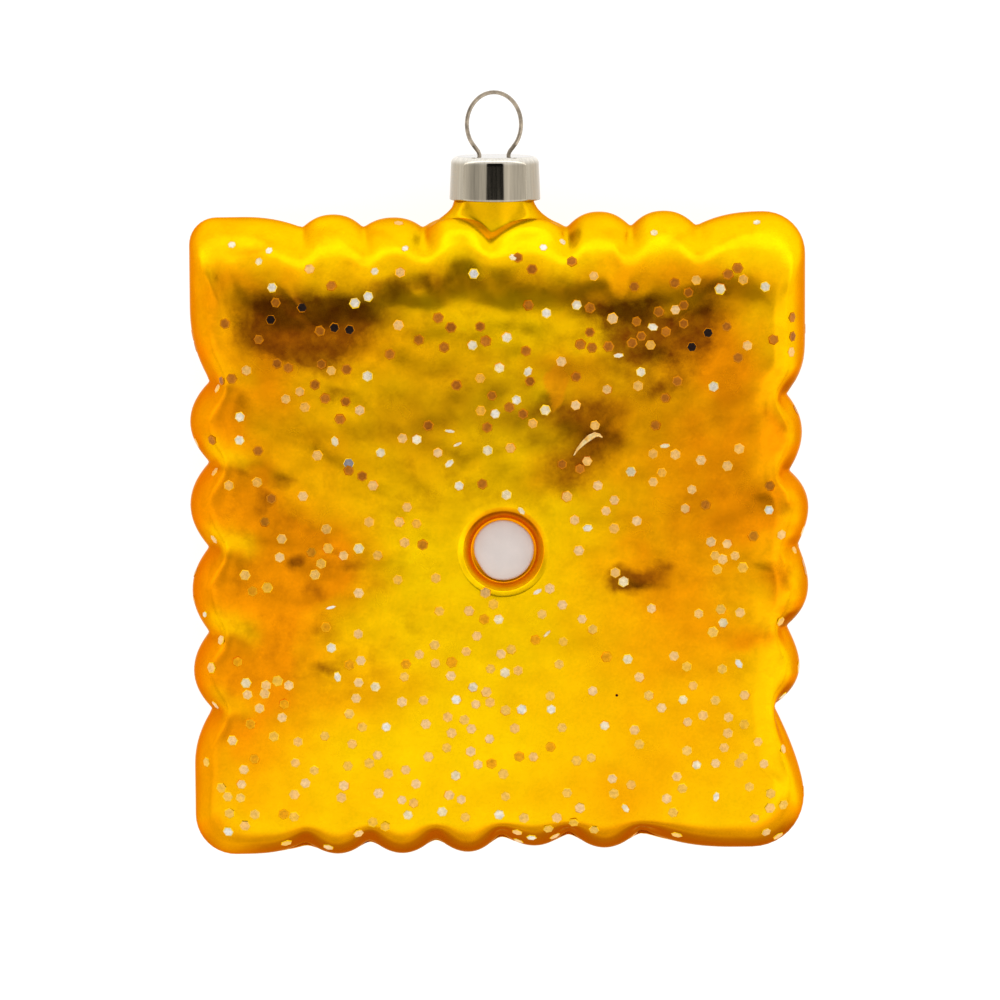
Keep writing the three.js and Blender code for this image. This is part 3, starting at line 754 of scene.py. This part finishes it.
def build_body():
    cols = columns(24, 20, 10)
    rim, face, out, depth, pinch, _ = cols
    front, front_marks = half_rows(cols, front_rise, 1, 26, 50, 28)
    back, back_marks = half_rows(cols, back_rise, -1, 13, 12, 12)
    g = np.array(back[::-1] + front[1:])
    marks = back_marks[::-1] + front_marks[1:]
    n = grid_normals(g)
    zone = np.array([m[0] for m in marks])
    share = np.array([m[1] for m in marks])
    # flutes: the notches run inwards over the shoulder, and end shortly after it
    face_far = np.linalg.norm(face - (DIMPLE - SHIFT), axis=1) - DIMPLE_LIP_R
    wide = ((rim - face) * out).sum(1)
    facing = np.array([smooth(0.5, 0.9, out @ d) for d in ((0, -1), (1, 0), (0, 1), (-1, 0))])
    lower, right, upper, left = facing
    rest = 1 - facing.sum(0)
    flutes_reach, flutes_fall = FLUTES_REACH @ facing + 6.0 * rest, FLUTES_FALL @ facing + 0.8 * rest
    flutes_fall += 0.34 * upper * smooth(20.0, 25.0, np.abs(rim[:, 0]))  # the outermost two end sooner
    flutes_fall += 0.24 * upper * gauss(rim[:, 0] - 8.8, 2.2)  # and so does the one right of the neck
    by_neck = upper * smooth(-11.0, -9.0, rim[:, 0]) * smooth(9.6, 7.6, rim[:, 0])
    ends = [shoulder_end(cols, -1)] * (len(back) - 1) + [shoulder_end(cols, 1)] * len(front)
    move = np.zeros(g.shape[:2])
    for i, (z, s) in enumerate(marks):
        if z == 0:
            inset = wide * shoulder(s, ends[i])[0]
            keep = 1 - flutes_fall * smooth(0.8, flutes_reach, inset)
        elif z == 1:
            inset = wide + face_far * s
            keep = (1 - flutes_fall * smooth(0.8, flutes_reach, wide)) * np.exp(-(((inset - wide) / 1.9) ** 2))
        else:
            continue
        stage = 3 * float(smooth(0.1, 6.5, np.median(inset)))
        d, e = staged(depth, stage), staged(pinch, stage)
        sooner = 3 * float(smooth(0.1, 4.2, np.median(inset)))  # the upper notches round off sooner
        d = d * (1 - upper) + staged(depth, sooner) * upper
        move[i] = d * keep
        # a shallow crease where the lobes end, arching outwards in each lobe
        lobes = smooth(0.0, 0.3, -depth[:, 3])
        crease_at = wide * (1.03 * e + 0.74 * (1 - e))
        move[i] += lobes * (0.3 * (1 - lower) + 0.7 * upper) * (
            -0.12 * gauss(inset - crease_at, 0.9 + 0.6 * (1 - upper)) + 0.16 * gauss(inset - 0.45 * wide, 1.4) * (1 - e))
        # on the right the lobes are beads with a hollow behind them
        move[i] += lobes * right * (
            0.20 * (1 - 0.5 * e) * gauss(inset - (1.7 + 2.2 * e), 0.8) - 0.28 * (1 - e) * gauss(inset - 4.0, 1.1))
        # the two lobes under the neck stand out in front of it
        if i >= len(back):
            move[i] += by_neck * (1 - e) * smooth(0, 0.8, inset) * 1.0 * gauss(inset - 1.2, 1.0)
    # at the bottom the back half draws in a little from the seam
    below = SEAM_Z - g[:len(back), :, 2]
    move[:len(back)] -= lower * 0.15 * np.clip(below, 0, 4) * smooth(8.0, 4.0, below)
    g = g + n * move[..., None]
    # blown glass turns gently: round off the edge of the face, lengthwise and across
    edge = len(back) + 25
    for step in range(15):
        reach = slice(edge - 7, edge + 6)
        calm = g[reach] * 0.5 + (g[edge - 8:edge + 5] + g[edge - 6:edge + 7]) * 0.25
        if step < 4 or step > 9:
            calm = calm * 0.5 + (np.roll(calm, 1, axis=1) + np.roll(calm, -1, axis=1)) * 0.25
        where = upper + rest + left if step < 7 else rest + left * smooth(10.0, 20.0, rim[:, 1])  # the corners most
        much = where[None, :, None] * gauss(np.arange(-7, 6), 4.0)[:, None, None]
        g[reach] = g[reach] * (1 - much) + calm * much
    g[..., :2] += SHIFT
    n = grid_normals(g)
    flat = g.reshape(-1, 3)
    flat_n = n.reshape(-1, 3)
    quiet = np.ones(g.shape[:2])
    quiet[zone == 2] = 0
    quiet[(zone == 1)] *= (1 - smooth(0.86, 1.0, share[zone == 1]) * 0.7)[:, None]
    h = relief(flat, flat_n[:, 2]) * quiet.reshape(-1)
    low = flat_n[:, 2] < -0.5
    h = np.where(low, np.minimum(h, 0) * 0.6, h)
    near_rim = smooth(0.0, 0.5, np.abs(flat_n[:, 2]))
    flat = flat + flat_n * (h * near_rim)[:, None]
    # inside the solid model's box
    lo, hi = (np.array(c) * 1000 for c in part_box("glass_body"))
    flat[:, 0] = np.clip(flat[:, 0], lo[0] + 0.002, hi[0] - 0.002)
    flat[:, 1] = np.clip(flat[:, 1], lo[1] + 0.002, None)
    flat[:, 2] = np.clip(flat[:, 2], 0.0, hi[2] - 0.002)
    g = flat.reshape(g.shape)
    # the last row of each half is one point: the dimple's middle
    rings = [g[i] for i in range(1, len(g) - 1)]
    verts, faces = tube_of(rings)
    return g, verts, faces


def build_neck(body_verts, body_faces):
    """The neck and the fillet that joins it to the pillow, laid on the pillow's surface."""
    tree = BVHTree.FromPolygons([Vector(v) for v in body_verts], body_faces)
    n, steps = 144, 20
    rings = [[] for _ in range(steps)]
    feet, slopes = [], []
    turn = 2 * np.pi * np.arange(n) / n
    across = np.abs(np.cos(turn)) ** 2.4
    # it flares widely to both sides, little to the back, and not at all to the front
    sideways = across ** 1.7
    spread = np.where(np.sin(turn) > 0, -0.25, 1.3) * (1 - sideways) + np.where(np.cos(turn) > 0, 3.3, 4.5) * sideways
    for a, wide in zip(turn, spread):
        o = np.array([NECK_X, 0, SEAM_Z]) + np.array([math.cos(a), 0, math.sin(a)]) * (NECK_R + wide)
        hit, normal, _, _ = tree.ray_cast(Vector((o[0], 60, o[2])), Vector((0, -1, 0)))
        feet.append(np.array(hit))
        slopes.append(np.array(normal) * (1 if normal[1] > 0 else -1))
    near = np.arange(-4, 5)
    weights = gauss(near, 2.0)
    slopes = [sum(slopes[(k + j) % n] * w for j, w in zip(near, weights)) for k in range(n)]
    for k, a in enumerate(turn):
        e = np.array([math.cos(a), 0, math.sin(a)])
        foot, m = feet[k], slopes[k] / np.linalg.norm(slopes[k])
        along = e - m * (e @ m)
        along /= np.linalg.norm(along)
        top = np.array([NECK_X, 36.9 + SHIFT[1], SEAM_Z]) + e * NECK_R
        reach = np.linalg.norm(foot - top)
        # at the sides it runs out along the pillow, in front it meets the lobes in a crease
        w = 0.15 + 0.85 * across[k]
        end = along * w + (foot - top) / reach * (1 - w)
        end /= np.linalg.norm(end)
        q1 = top + np.array([0, -1.0, 0]) * reach * (0.14 + 0.24 * across[k])
        q2 = foot - end * reach * (0.18 + 0.20 * across[k])
        for i in range(steps):
            s = i / (steps - 1)
            q = top * (1 - s) ** 3 + q1 * 3 * s * (1 - s) ** 2 + q2 * 3 * s * s * (1 - s) + foot * s ** 3
            rings[i].append(q - m * 0.03 * s ** 4)
    rings = [np.array(r) for r in rings]
    circle = [np.array([NECK_X + NECK_R * math.cos(2 * math.pi * k / n), 0, SEAM_Z + NECK_R * math.sin(2 * math.pi * k / n)]) for k in range(n)]
    upper = []
    for y, r in ((39.1, 0.92), (39.15, 0.97), (38.8, 1.0), (37.4, 1.0)):
        c = np.array(circle)
        c[:, 0] = NECK_X + (c[:, 0] - NECK_X) * r
        c[:, 2] = SEAM_Z + (c[:, 2] - SEAM_Z) * r
        c[:, 1] = y
        upper.append(c)
    verts, faces = tube_of(upper + rings, closed_start=True, closed_end=False)
    return verts, faces


grid, body_verts, body_faces = build_body()
neck_verts, neck_faces = build_neck(body_verts, body_faces)
k = len(body_verts)
# the neck's faces join the pillow's in one mesh
all_verts = np.vstack([body_verts, neck_verts])
all_faces = body_faces + [tuple(i + k for i in f) for f in neck_faces]
body = mesh_object("glass_skin", all_verts, all_faces, LACQUER)
normals = np.zeros(len(body.data.vertices) * 3)
body.data.vertices.foreach_get("normal", normals)
normals = normals.reshape(-1, 3)
tone, thin_silver_and_dark_reflection = lacquer_tone(all_verts, normals)
on_neck = (smooth(32.0, 34.5, all_verts[:, 1]) * (np.arange(len(all_verts)) >= k) * 0.62)[:, None]
tone = tone * (1 - on_neck) + np.array([0.72, 0.36, 0.001]) * on_neck
paint(body, "tone", tone)
paint(body, "thin_silver_and_dark_reflection", np.repeat(thin_silver_and_dark_reflection[:, None], 3, axis=1))
rough = mottling(*seen(all_verts)) * smooth(0.2, 0.7, normals[:, 2]) + 0.3 * smooth(0.0, -0.5, normals[:, 2])
paint(body, "mottle", np.repeat(rough[:, None], 3, axis=1))
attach(body, "root")
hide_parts("glass_body")

# ---- the enamel dots ----------------------------------------------------------------------


def build_dot(name, node, up):
    n, rings = 72, []
    a = 2 * np.pi * np.arange(n) / n
    wobble = 1 + 0.008 * np.sin(3 * a + 1) + 0.006 * np.sin(5 * a) - 0.055 * gauss(np.degrees(a) - 214, 17)
    for s, h in ((1.0, 0.0), (1.0, 0.07), (0.985, 0.15), (0.96, 0.20), (0.92, 0.235), (0.8, 0.28), (0.6, 0.315), (0.35, 0.34), (0.12, 0.35)):
        rings.append(np.column_stack([DIMPLE[0] + DOT_R * s * wobble * np.cos(a), DIMPLE[1] + DOT_R * s * wobble * np.sin(a), np.full(n, h)]))
    verts, faces = tube_of(rings)
    floor = SEAM_Z + (front_rise(*(DIMPLE - SHIFT)) if up else -back_rise(*(DIMPLE - SHIFT))) - (DIMPLE_DEPTH if up else -DIMPLE_DEPTH)
    verts[:, 2] = floor + (verts[:, 2] - 0.02) * (1 if up else -1)
    if not up:
        faces = [f[::-1] for f in faces]
    o = mesh_object(name, verts, faces, ENAMEL)
    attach(o, "root")
    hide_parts(node)
    return o


build_dot("enamel_front", "dot_front", True)
build_dot("enamel_back", "dot_back", False)

# ---- the cap and the ring -----------------------------------------------------------------


def build_cap():
    n = 160
    profile = []  # (radius, y) from the inner top round to the outer top
    profile += [(0.0, CAP_TOP - 0.38), (3.5, CAP_TOP - 0.38)]
    for k in range(9):
        a = math.pi / 2 * (1 - k / 8)
        profile.append((4.55 + 1.0 * math.cos(a), CAP_TOP - 1.38 + 1.0 * math.sin(a)))
    profile += [(5.6, CAP_BOTTOM + 0.3), (5.66, CAP_BOTTOM + 0.06), (5.76, CAP_BOTTOM), (5.9, CAP_BOTTOM + 0.01), (5.975, CAP_BOTTOM + 0.09)]
    # the side is a little narrower at its top, and turns in with a rounded edge
    lean, edge = math.radians(2.4), 0.95
    low, high = CAP_BOTTOM + 0.2, CAP_TOP - edge
    for f in (0, 0.03, 0.06, 0.3, 0.6, 0.9, 0.96, 1.0):
        profile.append((5.985 - (high - low) * f * math.tan(lean), low + (high - low) * f))
    for k in range(1, 13):
        a = lean + (math.pi / 2 - lean) * k / 12
        profile.append((5.985 - (high - low) * math.tan(lean) - edge * (1 - math.cos(a)), high + edge * math.sin(a)))
    profile += [(4.2, CAP_TOP), (2.6, CAP_TOP), (1.2, CAP_TOP), (0.0, CAP_TOP)]
    rings = []
    for r, y in profile[1:-1]:
        a = 2 * np.pi * np.arange(n) / n
        rings.append(np.column_stack([CAP_X + r * np.cos(a), np.full(n, y), SEAM_Z + r * np.sin(a)]))
    verts, faces = tube_of(rings)
    o = mesh_object("cap_shell", verts, faces, NICKEL)
    bright = smooth(high - 0.1, high + 0.75, verts[:, 1])[:, None]  # the rounded edge is lighter: a painted highlight
    tone = np.array([0.44, 0.39, 0.305]) * (1 - bright) + np.array([0.80, 0.765, 0.69]) * bright
    # the flat top and the rounding's back half keep the plain grey, without the painted highlight
    flat = (smooth(CAP_TOP - 0.05, CAP_TOP, verts[:, 1]) + smooth(-2.5, -5.0, verts[:, 2] - SEAM_Z) * bright[:, 0]).clip(0, 1)[:, None]
    paint(o, "tone", tone * (1 - flat) + np.array([0.45, 0.43, 0.395]) * flat)
    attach(o, "root")
    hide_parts("cap")
    return o


build_cap()
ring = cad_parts["ring"]
ring.data.materials.clear()
ring.data.materials.append(WIRE)

# ---- glitter ------------------------------------------------------------------------------

tree = BVHTree.FromPolygons([Vector(v) for v in all_verts], all_faces)


def flakes(spots, name):
    """Hexagonal flakes, each with a low collar where the lacquer has drawn up round it."""
    lo, hi = (np.array(c) * 1000 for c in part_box("glass_body"))
    hex_verts, hex_faces, hex_tone = [], [], []
    col_verts, col_faces, col_tone = [], [], []
    for s in spots:
        p, m, r = s["at"], s["normal"], s["r"]
        t = np.cross(m, [0.0, 0, 1.0] if abs(m[2]) < 0.9 else [0.0, 1.0, 0])
        t /= np.linalg.norm(t)
        b = np.cross(m, t)
        a = s["turn"] + np.pi / 3 * np.arange(6)
        way = np.array([math.cos(s["way"]), math.sin(s["way"])])
        flat = np.column_stack([np.cos(a), np.sin(a)])
        flat -= np.outer(flat @ way, way) * (1 - s["squash"])  # one that stands askew shows as a sliver
        ring = np.outer(flat[:, 0], t) + np.outer(flat[:, 1], b)
        slope = math.tan(s["tilt"])
        rise = 0.05 + 0.55 * r * slope + r * slope * (flat @ way)
        middle = 0.054 + 0.55 * r * slope
        top = p + ring * r + np.outer(rise, m)
        inner = p + ring * (r * 0.7) + np.outer(middle + 0.7 * (rise - 0.05 - 0.55 * r * slope), m)
        i = len(hex_verts)
        hex_verts += list(top) + list(top - m * 0.04) + list(inner) + [p + m * middle]
        hex_faces += [(i + j, i + (j + 1) % 6, i + 12 + (j + 1) % 6, i + 12 + j) for j in range(6)]
        hex_faces += [(i + 12 + j, i + 12 + (j + 1) % 6, i + 18) for j in range(6)]
        hex_faces += [(i + j, i + 6 + j, i + 6 + (j + 1) % 6, i + (j + 1) % 6) for j in range(6)]
        hex_faces.append(tuple(i + 6 + j for j in reversed(range(6))))
        for kind, much in ((s["edge"], 6), (s["edge"], 6), (s["colour"], 7)):
            hex_tone += [kind * (1 - s["speckle"] * rng.random()) for _ in range(much)]
        i = len(col_verts)
        col_verts += list(p + ring * (r * 0.99) + np.outer(rise - 0.012, m)) + list(p + ring * (r * 1.17) - m * 0.03)
        col_faces += [(i + j, i + 6 + j, i + 6 + (j + 1) % 6, i + (j + 1) % 6) for j in range(6)]
        col_tone += [s["collar"]] * 12
    for part, verts, faces, tones, material, slot in (
            (name, hex_verts, hex_faces, hex_tone, FLAKE, "nickel"),
            (name + "_collars", col_verts, col_faces, col_tone, LACQUER, "lacquer")):
        verts = np.clip(np.array(verts), lo + 0.001, hi - 0.001)
        o = mesh_object(part, verts, faces, material, smooth_faces=False)
        paint(o, "tone", np.clip(np.array(tones), 0, 1))
        paint(o, "thin_silver_and_dark_reflection", np.zeros((len(verts), 3)))
        paint(o, "mottle", np.zeros((len(verts), 3)))
        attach(o, "root")


def flake(at, normal, shares, **fixed):
    """One flake, bare, thinly lacquered or thickly lacquered, in the given shares."""
    kind = rng.choice(3, p=np.array(shares) / sum(shares))
    low = float(smooth(0, -22, at[1]))  # they are lighter towards the bottom
    squash = 1.0
    if kind == 0:
        colour = np.array([1.0, 0.82, 0.50]) + rng.random() ** 1.5 * np.array([0, 0.14, 0.40])
        edge = np.array([1.0, 0.74, 0.24])
        tilt, speckle = abs(rng.normal(0, 4)), 0.2
        collar = YELLOW
        if rng.random() < 0.28:
            squash = rng.uniform(0.3, 0.75)
    elif kind == 1:
        colour = np.array([1.0, 0.54, 0.11]) + rng.random() * np.array([0, 0.12, 0.20])
        ground = YELLOW * (0.4 + 0.4 * low) + ORANGE * (0.6 - 0.4 * low)
        if rng.random() < 0.35:  # some hardly show
            colour = colour * 0.45 + ground * 0.55
        edge = colour * 0.62 + ground * 0.38
        tilt, speckle = abs(rng.normal(0, 2.0)), 0.10
        collar = ground
    else:
        colour = np.array([0.42, 0.125, 0.007]) + rng.random() * np.array([0.2, 0.08, 0.006])
        colour = colour * (1 - low) + np.array([0.95, 0.40, 0.004]) * low
        edge = np.array([0.78, 0.27, 0.006]) * (1 - low) + np.array([1.0, 0.50, 0.004]) * low
        tilt, speckle = abs(rng.normal(0, 3.5)), 0.2
        collar = ORANGE * (0.6 + 0.3 * low)
    made = dict(at=at, normal=normal, r=0.63 + 0.09 * rng.random(), turn=rng.uniform(0, np.pi / 3),
                tilt=math.radians(min(tilt, 13)), way=rng.uniform(0, 2 * np.pi), colour=colour, edge=edge,
                collar=collar, speckle=speckle, squash=squash)
    made.update(fixed)
    return made


def on_front(u, v):
    x, y = face_xy(u, v)
    hit, m, _, _ = tree.ray_cast(Vector((x, y, 60)), Vector((0, 0, -1)))
    if hit is None:
        return None
    # again, with the height that was found
    x, y = face_xy(u, v, hit[2])
    hit, m, _, _ = tree.ray_cast(Vector((x, y, 60)), Vector((0, 0, -1)))
    if hit is None:
        return None
    m = np.array(m)
    return np.array(hit), m if m[2] > 0 else -m


def density(u, v):
    """How much glitter lies at a place of the front, 1 at most."""
    d = 0.46 + 0.40 * smooth(640, 700, v) - 0.12 * smooth(825, 845, v)
    d = max(d, 0.95 * gauss(u - 505, 75) * gauss(v - 430, 95))
    d = max(d, 0.75 * gauss(v - 325, 45) * (1 - gauss(u - 500, 40) * 0.3))
    d = max(d, 0.70 * gauss(u - 470, 120) * gauss(v - 640, 70))
    return d * (0.10 + 0.90 * smooth(250, 282, v)) * smooth(192, 225, u) * smooth(806, 772, u)


def scatter_front(count):
    made = []
    centres = [(rng.uniform(215, 785), rng.uniform(260, 835)) for _ in range(60)]
    while len(made) < count:
        if rng.random() < 0.28:
            c = centres[rng.integers(len(centres))]
            u, v = c[0] + rng.normal(0, 10), c[1] + rng.normal(0, 10)
        else:
            u, v = rng.uniform(193, 806), rng.uniform(218, 850)
        if rng.random() > density(u, v) or math.hypot(u - 503.7, v - 550) < 37 or math.hypot((u - 588) / 1.5, v - 443) < 15:
            continue
        if min((math.hypot(u - a, v - b) for a, b, _ in made), default=99) < (7.5 if rng.random() < 0.2 else 11.5):
            continue
        hit = on_front(u, v)
        if hit is not None and hit[1][2] > 0.25:
            made.append((u, v, hit))
    return made


def shares_at(u, v):
    """Shares of bare, thinly and thickly lacquered flakes."""
    top = float(smooth(420, 330, v))
    middle = float(gauss(u - 500, 90) * gauss(v - 440, 90))
    low = float(smooth(600, 680, v))
    # fewer bare flakes in the blotches of painted dark reflection on the upper left and right
    in_dark_blotches = max(float(gauss(u - 310, 55) * gauss(v - 325, 32)), float(gauss(u - 660, 55) * gauss(v - 330, 34)))
    return ((0.12 + 0.42 * middle + 0.06 * top) * (1 - 0.9 * in_dark_blotches), 0.70 - 0.38 * middle - 0.42 * top, 0.18 - 0.10 * low + 0.15 * middle + 0.42 * top)


spots = [(math.hypot(u - 503.7, v - 550), flake(*hit, shares_at(u, v))) for u, v, hit in scatter_front(395)]
spots = [spot for away, spot in spots if away > 43]  # none lies across the dimple's lip
# some are painted near black: painted reflection of the dark overhead in the dark blotches
for u, v in ((273, 320), (304, 308), (336, 328), (351, 330), (706, 333), (690, 347)):
    fixed_tone = np.array([0.02, 0.01, 0.008])
    spots.append(flake(*on_front(u, v), (0, 0, 1), colour=fixed_tone, edge=fixed_tone * 1.5, tilt=0.02, r=0.62))
for u, v in ((234, 245), (271, 251), (261, 262), (406, 249), (376, 272), (562, 242), (513, 258), (543, 248), (653, 233), (755, 222)):
    spots.append(flake(*on_front(u, v), (1, 0, 0), r=0.56, tilt=0.02, squash=rng.uniform(0.7, 1.0)))
fixed_tone = np.array([0.36, 0.34, 0.36])
spots.append(flake(*on_front(350, 463), (1, 0, 0), colour=fixed_tone, edge=fixed_tone, tilt=0.02, squash=1.0))
fixed_tone = np.array([0.03, 0.01, 0.005])
spots.append(flake(*on_front(616, 694), (0, 0, 1), colour=fixed_tone, edge=fixed_tone, tilt=0.0, r=0.19))
flakes(spots, "glitter_front")


def build_sliver():
    """A curved scratch with a raised bright edge, right of the middle."""
    u, v, w = np.array([(573, 455, 1.0), (577, 448.5, 2.4), (583, 442, 4.6), (589, 437, 6.0), (594, 434.2, 5.2), (598, 434.6, 3.4), (601.5, 437, 1.2)]).T
    at = np.linspace(0, len(u) - 1, 25)
    u, v, w = (np.interp(at, range(len(q)), q) for q in (u, v, w))
    path = [on_front(a, b) for a, b in zip(u, v)]
    line = np.array([p for p, _ in path])
    ahead = np.gradient(line, axis=0)
    rings = []
    for (p, m), d, wide in zip(path, ahead, w):
        side = np.cross(m, d)
        side /= np.linalg.norm(side)
        a = np.pi / 4 * np.arange(8)
        rings.append(p + m * 0.03 + np.outer(np.cos(a), side) * wide * UNIT / 2 + np.outer(np.sin(a), m) * 0.09)
    verts, faces = tube_of(rings)
    o = mesh_object("sliver", verts, faces, FLAKE)
    much = rng.random(len(verts))[:, None]
    paint(o, "tone", np.array([1.0, 0.50, 0.07]) * (1 - much) + np.array([1.0, 0.82, 0.42]) * much)
    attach(o, "root")


build_sliver()

# the back and the rim
spots = []
while len(spots) < 360:
    x, y = rng.uniform(-40, 40), rng.uniform(-46, 35)
    if math.hypot(x - DIMPLE[0], y - DIMPLE[1]) < 7:
        continue
    hit, m, _, _ = tree.ray_cast(Vector((x, y, -60)), Vector((0, 0, 1)))
    if hit is None:
        continue
    m = np.array(m) * (1 if m[2] < 0 else -1)
    if m[2] > (-0.3 if y > -43 else -0.7) or rng.random() > 0.5 + 0.5 * smooth(-10, -40, y):
        continue
    q = np.array(hit)
    flat = q[2] < 0.4  # nothing stands below what the ornament lies on
    spots.append(flake(q, m, (0.14, 0.62, 0.24), **(dict(tilt=0.0) if flat else {})))
while len(spots) < 390:
    a = rng.uniform(0, 2 * np.pi)
    d = np.array([math.cos(a), math.sin(a), 0])
    hit, m, _, _ = tree.ray_cast(Vector((rng.uniform(-30, 30), rng.uniform(-42, 26), rng.uniform(3.5, 13))), Vector(d))
    if hit is None or hit[1] > 33.2:
        continue
    m = np.array(m)
    m = m if m @ d > 0 else -m
    if abs(m[2]) < 0.75 and not (m[1] < -0.4 and hit[2] < SEAM_Z + 1.5):
        spots.append(flake(np.array(hit), m, (0.0, 0.6, 0.4), tilt=0.0))
flakes(spots, "glitter_back")

# ---- floor, light and camera --------------------------------------------------------------

floor_mesh = bpy.data.meshes.new("floor")
floor_mesh.from_pydata([(-6, -6, 0), (6, -6, 0), (6, 6, 0), (-6, 6, 0)], [], [(0, 1, 2, 3)])
floor = bpy.data.objects.new("floor", floor_mesh)
scene.collection.objects.link(floor)
floor.location.z = -0.0002
pale = bpy.data.materials.new("pale_floor")
pale.use_nodes = True
b = pale.node_tree.nodes["Principled BSDF"]
b.inputs["Base Color"].default_value = (0.32, 0.32, 0.32, 1)
b.inputs["Roughness"].default_value = 0.9
b.inputs["Specular IOR Level"].default_value = 0.0
b.inputs["Emission Color"].default_value = (1, 1, 1, 1)
b.inputs["Emission Strength"].default_value = 0.85
floor_mesh.materials.append(pale)


def build_world():
    """A plain studio: light all round, a bright soft light above the object's head, and the dark camera stand overhead."""
    w = bpy.data.worlds.new("studio")
    scene.world = w
    w.use_nodes = True
    t = w.node_tree
    t.nodes.clear()

    def node(kind, **kw):
        n = t.nodes.new(kind)
        for k, v in kw.items():
            setattr(n, k, v)
        return n

    def maths(op, a, b=None, c=None):
        n = node("ShaderNodeMath", operation=op)
        for i, x in enumerate((a, b, c)):
            if x is None:
                continue
            if isinstance(x, (int, float)):
                n.inputs[i].default_value = x
            else:
                t.links.new(x, n.inputs[i])
        return n.outputs[0]

    def step(x, a, b):
        """0 at a, 1 at b, smoothly."""
        n = node("ShaderNodeMapRange", interpolation_type="SMOOTHSTEP")
        n.inputs[1].default_value, n.inputs[2].default_value = (a, b) if a < b else (b, a)
        n.inputs[3].default_value, n.inputs[4].default_value = (0, 1) if a < b else (1, 0)
        t.links.new(x, n.inputs[0])
        return n.outputs[0]

    def band(x, a, b, c, d):
        return maths("MULTIPLY", step(x, a, b), step(x, d, c))

    at = node("ShaderNodeTexCoord").outputs["Generated"]
    sep = node("ShaderNodeSeparateXYZ")
    t.links.new(at, sep.inputs[0])
    x, y, z = sep.outputs
    zz = maths("MAXIMUM", z, 0.0001)
    ax = maths("MULTIPLY", maths("ARCTAN2", x, zz), 180 / math.pi)
    ay = maths("MULTIPLY", maths("ARCTAN2", y, zz), 180 / math.pi)
    wide = maths("ABSOLUTE", ax)
    # the pale table below
    light = maths("ADD", 0.58, maths("ADD", maths("MULTIPLY", step(ay, 2.0, -4.5), 0.36), maths("MULTIPLY", step(ay, -8, -17), 0.16)))
    # the soft light above, and the bright strip in its middle
    light = maths("ADD", light, maths("ADD", maths("MULTIPLY", step(ay, 30, 37), 0.38), maths("MULTIPLY", band(ay, 54, 64, 76, 84), 0.85)))
    light = maths("ADD", light, maths("MULTIPLY", maths("MULTIPLY", band(wide, 16, 26, 34, 50), band(ay, -10, -4, 33, 36)), 0.20))
    light = maths("ADD", light, maths("MULTIPLY", step(wide, 58, 76), 0.30))
    light = maths("ADD", light, maths("MULTIPLY", maths("MULTIPLY", band(ax, 22, 30, 56, 74), step(ay, 40, 34)), 0.30))
    dark = maths("MULTIPLY", step(wide, 24, 20), band(ay, -1.5, 1.5, 27, 34))
    light = maths("MULTIPLY", light, maths("SUBTRACT", 1.0, maths("MULTIPLY", dark, 0.98)))
    light = maths("MULTIPLY", light, maths("SUBTRACT", 1.0, maths("MULTIPLY", step(ay, -55, -75), 0.42)))
    bg = node("ShaderNodeBackground")
    bg.inputs["Color"].default_value = (1.0, 0.985, 0.96, 1)
    t.links.new(light, bg.inputs["Strength"])
    t.links.new(bg.outputs[0], node("ShaderNodeOutputWorld").inputs["Surface"])


build_world()

cam_data = bpy.data.cameras.new("camera")
cam = bpy.data.objects.new("camera", cam_data)
scene.collection.objects.link(cam)
FAR = 1.5
target = Vector((0.114, -3.57, SEAM_Z)) * 0.001
tilt = math.radians(5.0)
cam.location = target + Vector((0, math.sin(tilt), math.cos(tilt))) * FAR
cam.rotation_euler = (-tilt, 0, 0)
cam_data.sensor_width = 36
cam_data.lens = 36 * FAR / (998 * UNIT * 0.001)
cam_data.clip_start = 0.05
cam_data.clip_end = 50
scene.camera = cam
scene.view_settings.view_transform = "Standard"
scene.view_settings.look = "None"
scene.view_settings.exposure = 0
scene.view_settings.gamma = 1
